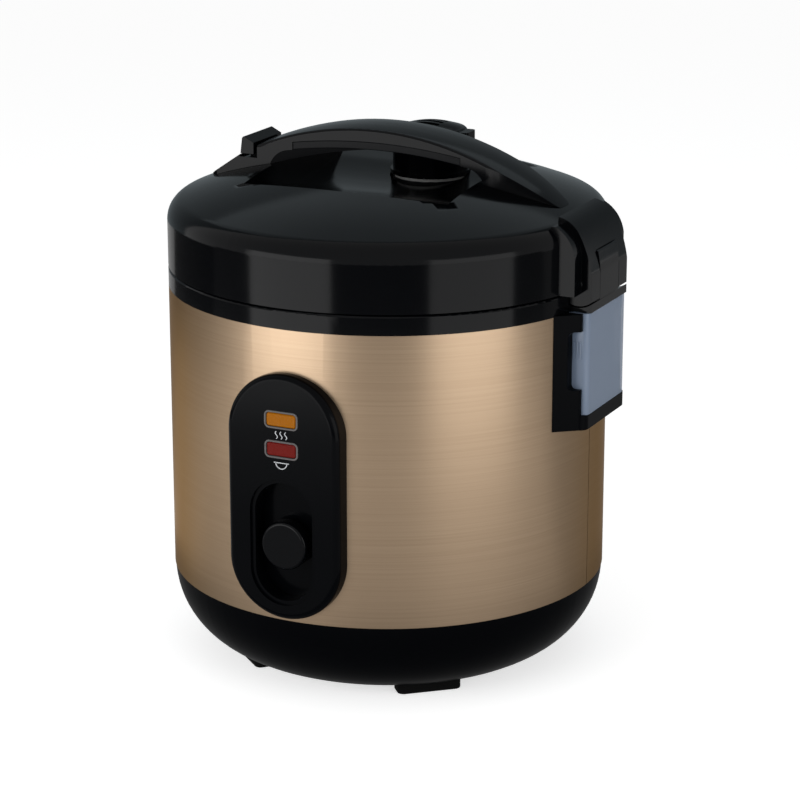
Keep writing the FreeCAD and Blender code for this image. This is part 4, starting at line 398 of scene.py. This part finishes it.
# Lid: the glossy black dome, moulded with its finger well and hinge block, which turns on a steel pin in the
# fixed post. A satin cover closes it from below and holds the silicone seals and the aluminium plate.
stand_in("lid_shell", "lid", gloss_black, rounding=0.0008)
stand_in("hinge_post", "body", gloss_black, rounding=0.0004)
dress(bright_steel, "hinge_pin", "hinge_spring")
dress(satin_black, "lid_lower_cover", "vent_seat")
dull = Finish("dull_aluminium")
dull_aluminium = dull.surface(Base_Color=(0.34, 0.345, 0.35, 1), Metallic=1.0,
                              Roughness=dull.noise(scale=200.0) * 0.1 + 0.52)
dress(dull_aluminium, "inner_lid_plate")
silicone = Finish("grey_silicone")
grey_silicone = silicone.surface(Base_Color=(0.45, 0.45, 0.44, 1), Roughness=0.55)
dress(grey_silicone, "lid_gasket", "plate_grommet", "vent_seal_ring")


# Handle, latch and vent: the crowned arch, screwed to the dome, with a satin insert under the grip that a
# wedge thickens towards the latch. A button on a pin frees the lid, and the steam cap behind lifts off.
def grip_lip(start, end, half, peak, radius, slope, buried):
    """The wedge under the grip: its top follows the arch inside the insert, and its foot leaves the arch."""
    steps = 24
    corners = []
    for step in range(steps + 1):
        x = start + (end - start) * step / steps
        under = peak - radius + math.sqrt(radius ** 2 - x ** 2)
        low = under - slope * (end - x)
        high = under + buried
        corners += [(x, -half, low), (x, half, low), (x, half, high), (x, -half, high)]
    faces = [(3, 2, 1, 0), tuple(4 * steps + side for side in range(4))]
    for step in range(steps):
        here = 4 * step
        there = here + 4
        for side in range(4):
            after = (side + 1) % 4
            faces.append((here + side, here + after, there + after, there + side))
    mesh = bpy.data.meshes.new("grip_lip")
    mesh.from_pydata(corners, [], faces)
    mesh.materials.append(base_black)
    lip = bpy.data.objects.new("grip_lip", mesh)
    bpy.context.scene.collection.objects.link(lip)
    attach(lip, "lid")


stand_in("handle_top", "lid", gloss_black, rounding=0.0012)
dress(bright_steel, "handle_screws")
stand_in("grip_insert", "lid", satin_black, rounding=0.0004)
grip_lip(start=-0.062, end=-0.005, half=0.0151, peak=0.2717, radius=0.3, slope=0.11, buried=0.0005)
stand_in("latch_lever", "latch", gloss_black, rounding=0.0005)
dress(bright_steel, "latch_pin", "latch_spring")
stand_in("vent_cap", "vent_cap", panel_black, rounding=0.0004)


# Studio: a white floor that keeps the shadow, a white surround and three soft boxes, two low ones close by
# and one above and behind. Cards that only gloss can see lie round the object and stand behind it.
def staged_plate(name, corners, material):
    """A flat face of the studio."""
    mesh = bpy.data.meshes.new(name)
    mesh.from_pydata(corners, [], [tuple(range(len(corners)))])
    mesh.materials.append(material)
    plate = bpy.data.objects.new(name, mesh)
    bpy.context.scene.collection.objects.link(plate)
    return plate


def seen_rays(finish):
    """1 for the rays that show the background: the camera's, and those from gloss and through glass."""
    camera_ray = finish.make("ShaderNodeLightPath", output="Is Camera Ray")
    glossy_ray = finish.make("ShaderNodeLightPath", output="Is Glossy Ray")
    glass_ray = finish.make("ShaderNodeLightPath", output="Is Transmission Ray")
    return camera_ray.math("MAXIMUM", glossy_ray).math("MAXIMUM", glass_ray)


paper = Finish("studio_paper")
plain_paper = paper.make("ShaderNodeBsdfDiffuse", None, {"Color": (0.82, 0.82, 0.82, 1)})
paper_glow = paper.make("ShaderNodeEmission", None, {"Strength": 0.6})
white_paper = paper.make("ShaderNodeAddShader", None, {0: plain_paper, 1: paper_glow})
seen_paper = paper.make("ShaderNodeMixShader", None, {0: seen_rays(paper), 1: plain_paper, 2: white_paper})
paper.make("ShaderNodeOutputMaterial", None, {"Surface": seen_paper})
reach = 6.0
floor_corners = [(-reach, -reach, 0), (reach, -reach, 0), (reach, reach, 0), (-reach, reach, 0)]
staged_plate("studio_floor", floor_corners, paper.material)


def around(azimuth, distance, height):
    """A place at an azimuth from -Y towards +X."""
    angle = math.radians(azimuth)
    return (distance * math.sin(angle), -distance * math.cos(angle), height)


def grey_card(name, shade, corners, tint=(1, 1, 1, 1)):
    """A card that only gloss can see."""
    finish = Finish(name)
    glow = finish.make("ShaderNodeEmission", None, {"Color": tint, "Strength": shade})
    finish.make("ShaderNodeOutputMaterial", None, {"Surface": glow})
    card = staged_plate(name, corners, finish.material)
    card.visible_camera = False
    card.visible_diffuse = False
    card.visible_transmission = False
    card.visible_shadow = False


def floor_card(name, shade, start, end, inner, outer):
    """A card in the shape of a piece of a ring, just above the floor."""
    count = 24
    height = 0.001
    azimuths = [start + (end - start) * step / count for step in range(count + 1)]
    outer_edge = [around(azimuth, outer, height) for azimuth in azimuths]
    inner_edge = [around(azimuth, inner, height) for azimuth in reversed(azimuths)]
    grey_card(name, shade, outer_edge + inner_edge)


back_start = 150
back_end = 262
back_distance = 1.8
back_height = 3.0
back_corners = [around(back_start, back_distance, 0), around(back_end, back_distance, 0),
                around(back_end, back_distance, back_height), around(back_start, back_distance, back_height)]
grey_card("back_card", 0.25, back_corners, tint=(0.82, 0.94, 1, 1))
floor_card("foot_card", 0.28, start=0, end=360, inner=0.02, outer=0.235)
floor_card("near_card", 0.76, start=-70, end=108, inner=0.236, outer=0.46)
floor_card("middle_card", 1.2, start=-70, end=108, inner=0.461, outer=0.78)
floor_card("far_card", 0.18, start=-70, end=108, inner=0.781, outer=3.0)
floor_card("side_card", 0.45, start=108, end=245, inner=0.236, outer=1.6)
floor_card("left_card", 0.95, start=245, end=290, inner=0.236, outer=0.727)
floor_card("far_left_card", 0.06, start=245, end=290, inner=0.728, outer=1.6)

world = bpy.data.worlds.new("studio_surround")
bpy.context.scene.world = world
surround = Finish("studio_surround", world)
ambient = surround.make("ShaderNodeBackground", None, {"Color": (1, 1, 1, 1), "Strength": 0.45})
backdrop = surround.make("ShaderNodeBackground", None, {"Color": (1, 1, 1, 1), "Strength": 1.0})
seen_surround = surround.make("ShaderNodeMixShader", None, {0: seen_rays(surround), 1: ambient, 2: backdrop})
surround.make("ShaderNodeOutputWorld", None, {"Surface": seen_surround})


def facing(place, target):
    """The turn that points a lamp or a camera from its place at a target."""
    return (target - place).to_track_quat("-Z", "Y").to_euler()


def soft_box(name, azimuth, power, height, distance, width, tall, aim, tint=(1, 1, 1)):
    """A rectangular lamp that faces the object's axis at the height of its aim."""
    light = bpy.data.lights.new(name, "AREA")
    light.shape = "RECTANGLE"
    light.size = width
    light.size_y = tall
    light.energy = power
    light.color = tint
    lamp = bpy.data.objects.new(name, light)
    lamp.location = around(azimuth, distance, height)
    lamp.rotation_euler = facing(lamp.location, Vector((0, 0, aim)))
    bpy.context.scene.collection.objects.link(lamp)


low_box = {"height": 0.19, "distance": 0.62, "width": 0.48, "tall": 0.36, "aim": 0.19}
soft_box("soft_box_left", azimuth=-22.0, power=2.1, **low_box)
soft_box("soft_box_right", azimuth=66.0, power=1.4, **low_box)
soft_box("soft_box_top", azimuth=206.0, power=1.5, height=1.15, distance=0.75, width=1.4, tall=0.8, aim=0.25,
         tint=(0.84, 0.95, 1))


# Camera: a long lens at the side and the height that the photograph was taken from, as the fit gave them. It
# looks a little past the object's axis.
turn = math.radians(26.0)
tilt = math.radians(16.63)
away = 1.4863
aside = 0.00603
middle = Vector((0, 0, 0.134))
camera_data = bpy.data.cameras.new("view")
camera_data.sensor_width = 36.0
camera_data.lens = 125.8
camera = bpy.data.objects.new("view", camera_data)
outward = Vector((math.sin(turn) * math.cos(tilt), -math.cos(turn) * math.cos(tilt), math.sin(tilt)))
rightward = Vector((math.cos(turn), math.sin(turn), 0))
camera.location = middle + away * outward
camera.rotation_euler = facing(camera.location, middle + aside * rightward)
bpy.context.scene.collection.objects.link(camera)
bpy.context.scene.camera = camera
bpy.context.scene.view_settings.view_transform = "Standard"
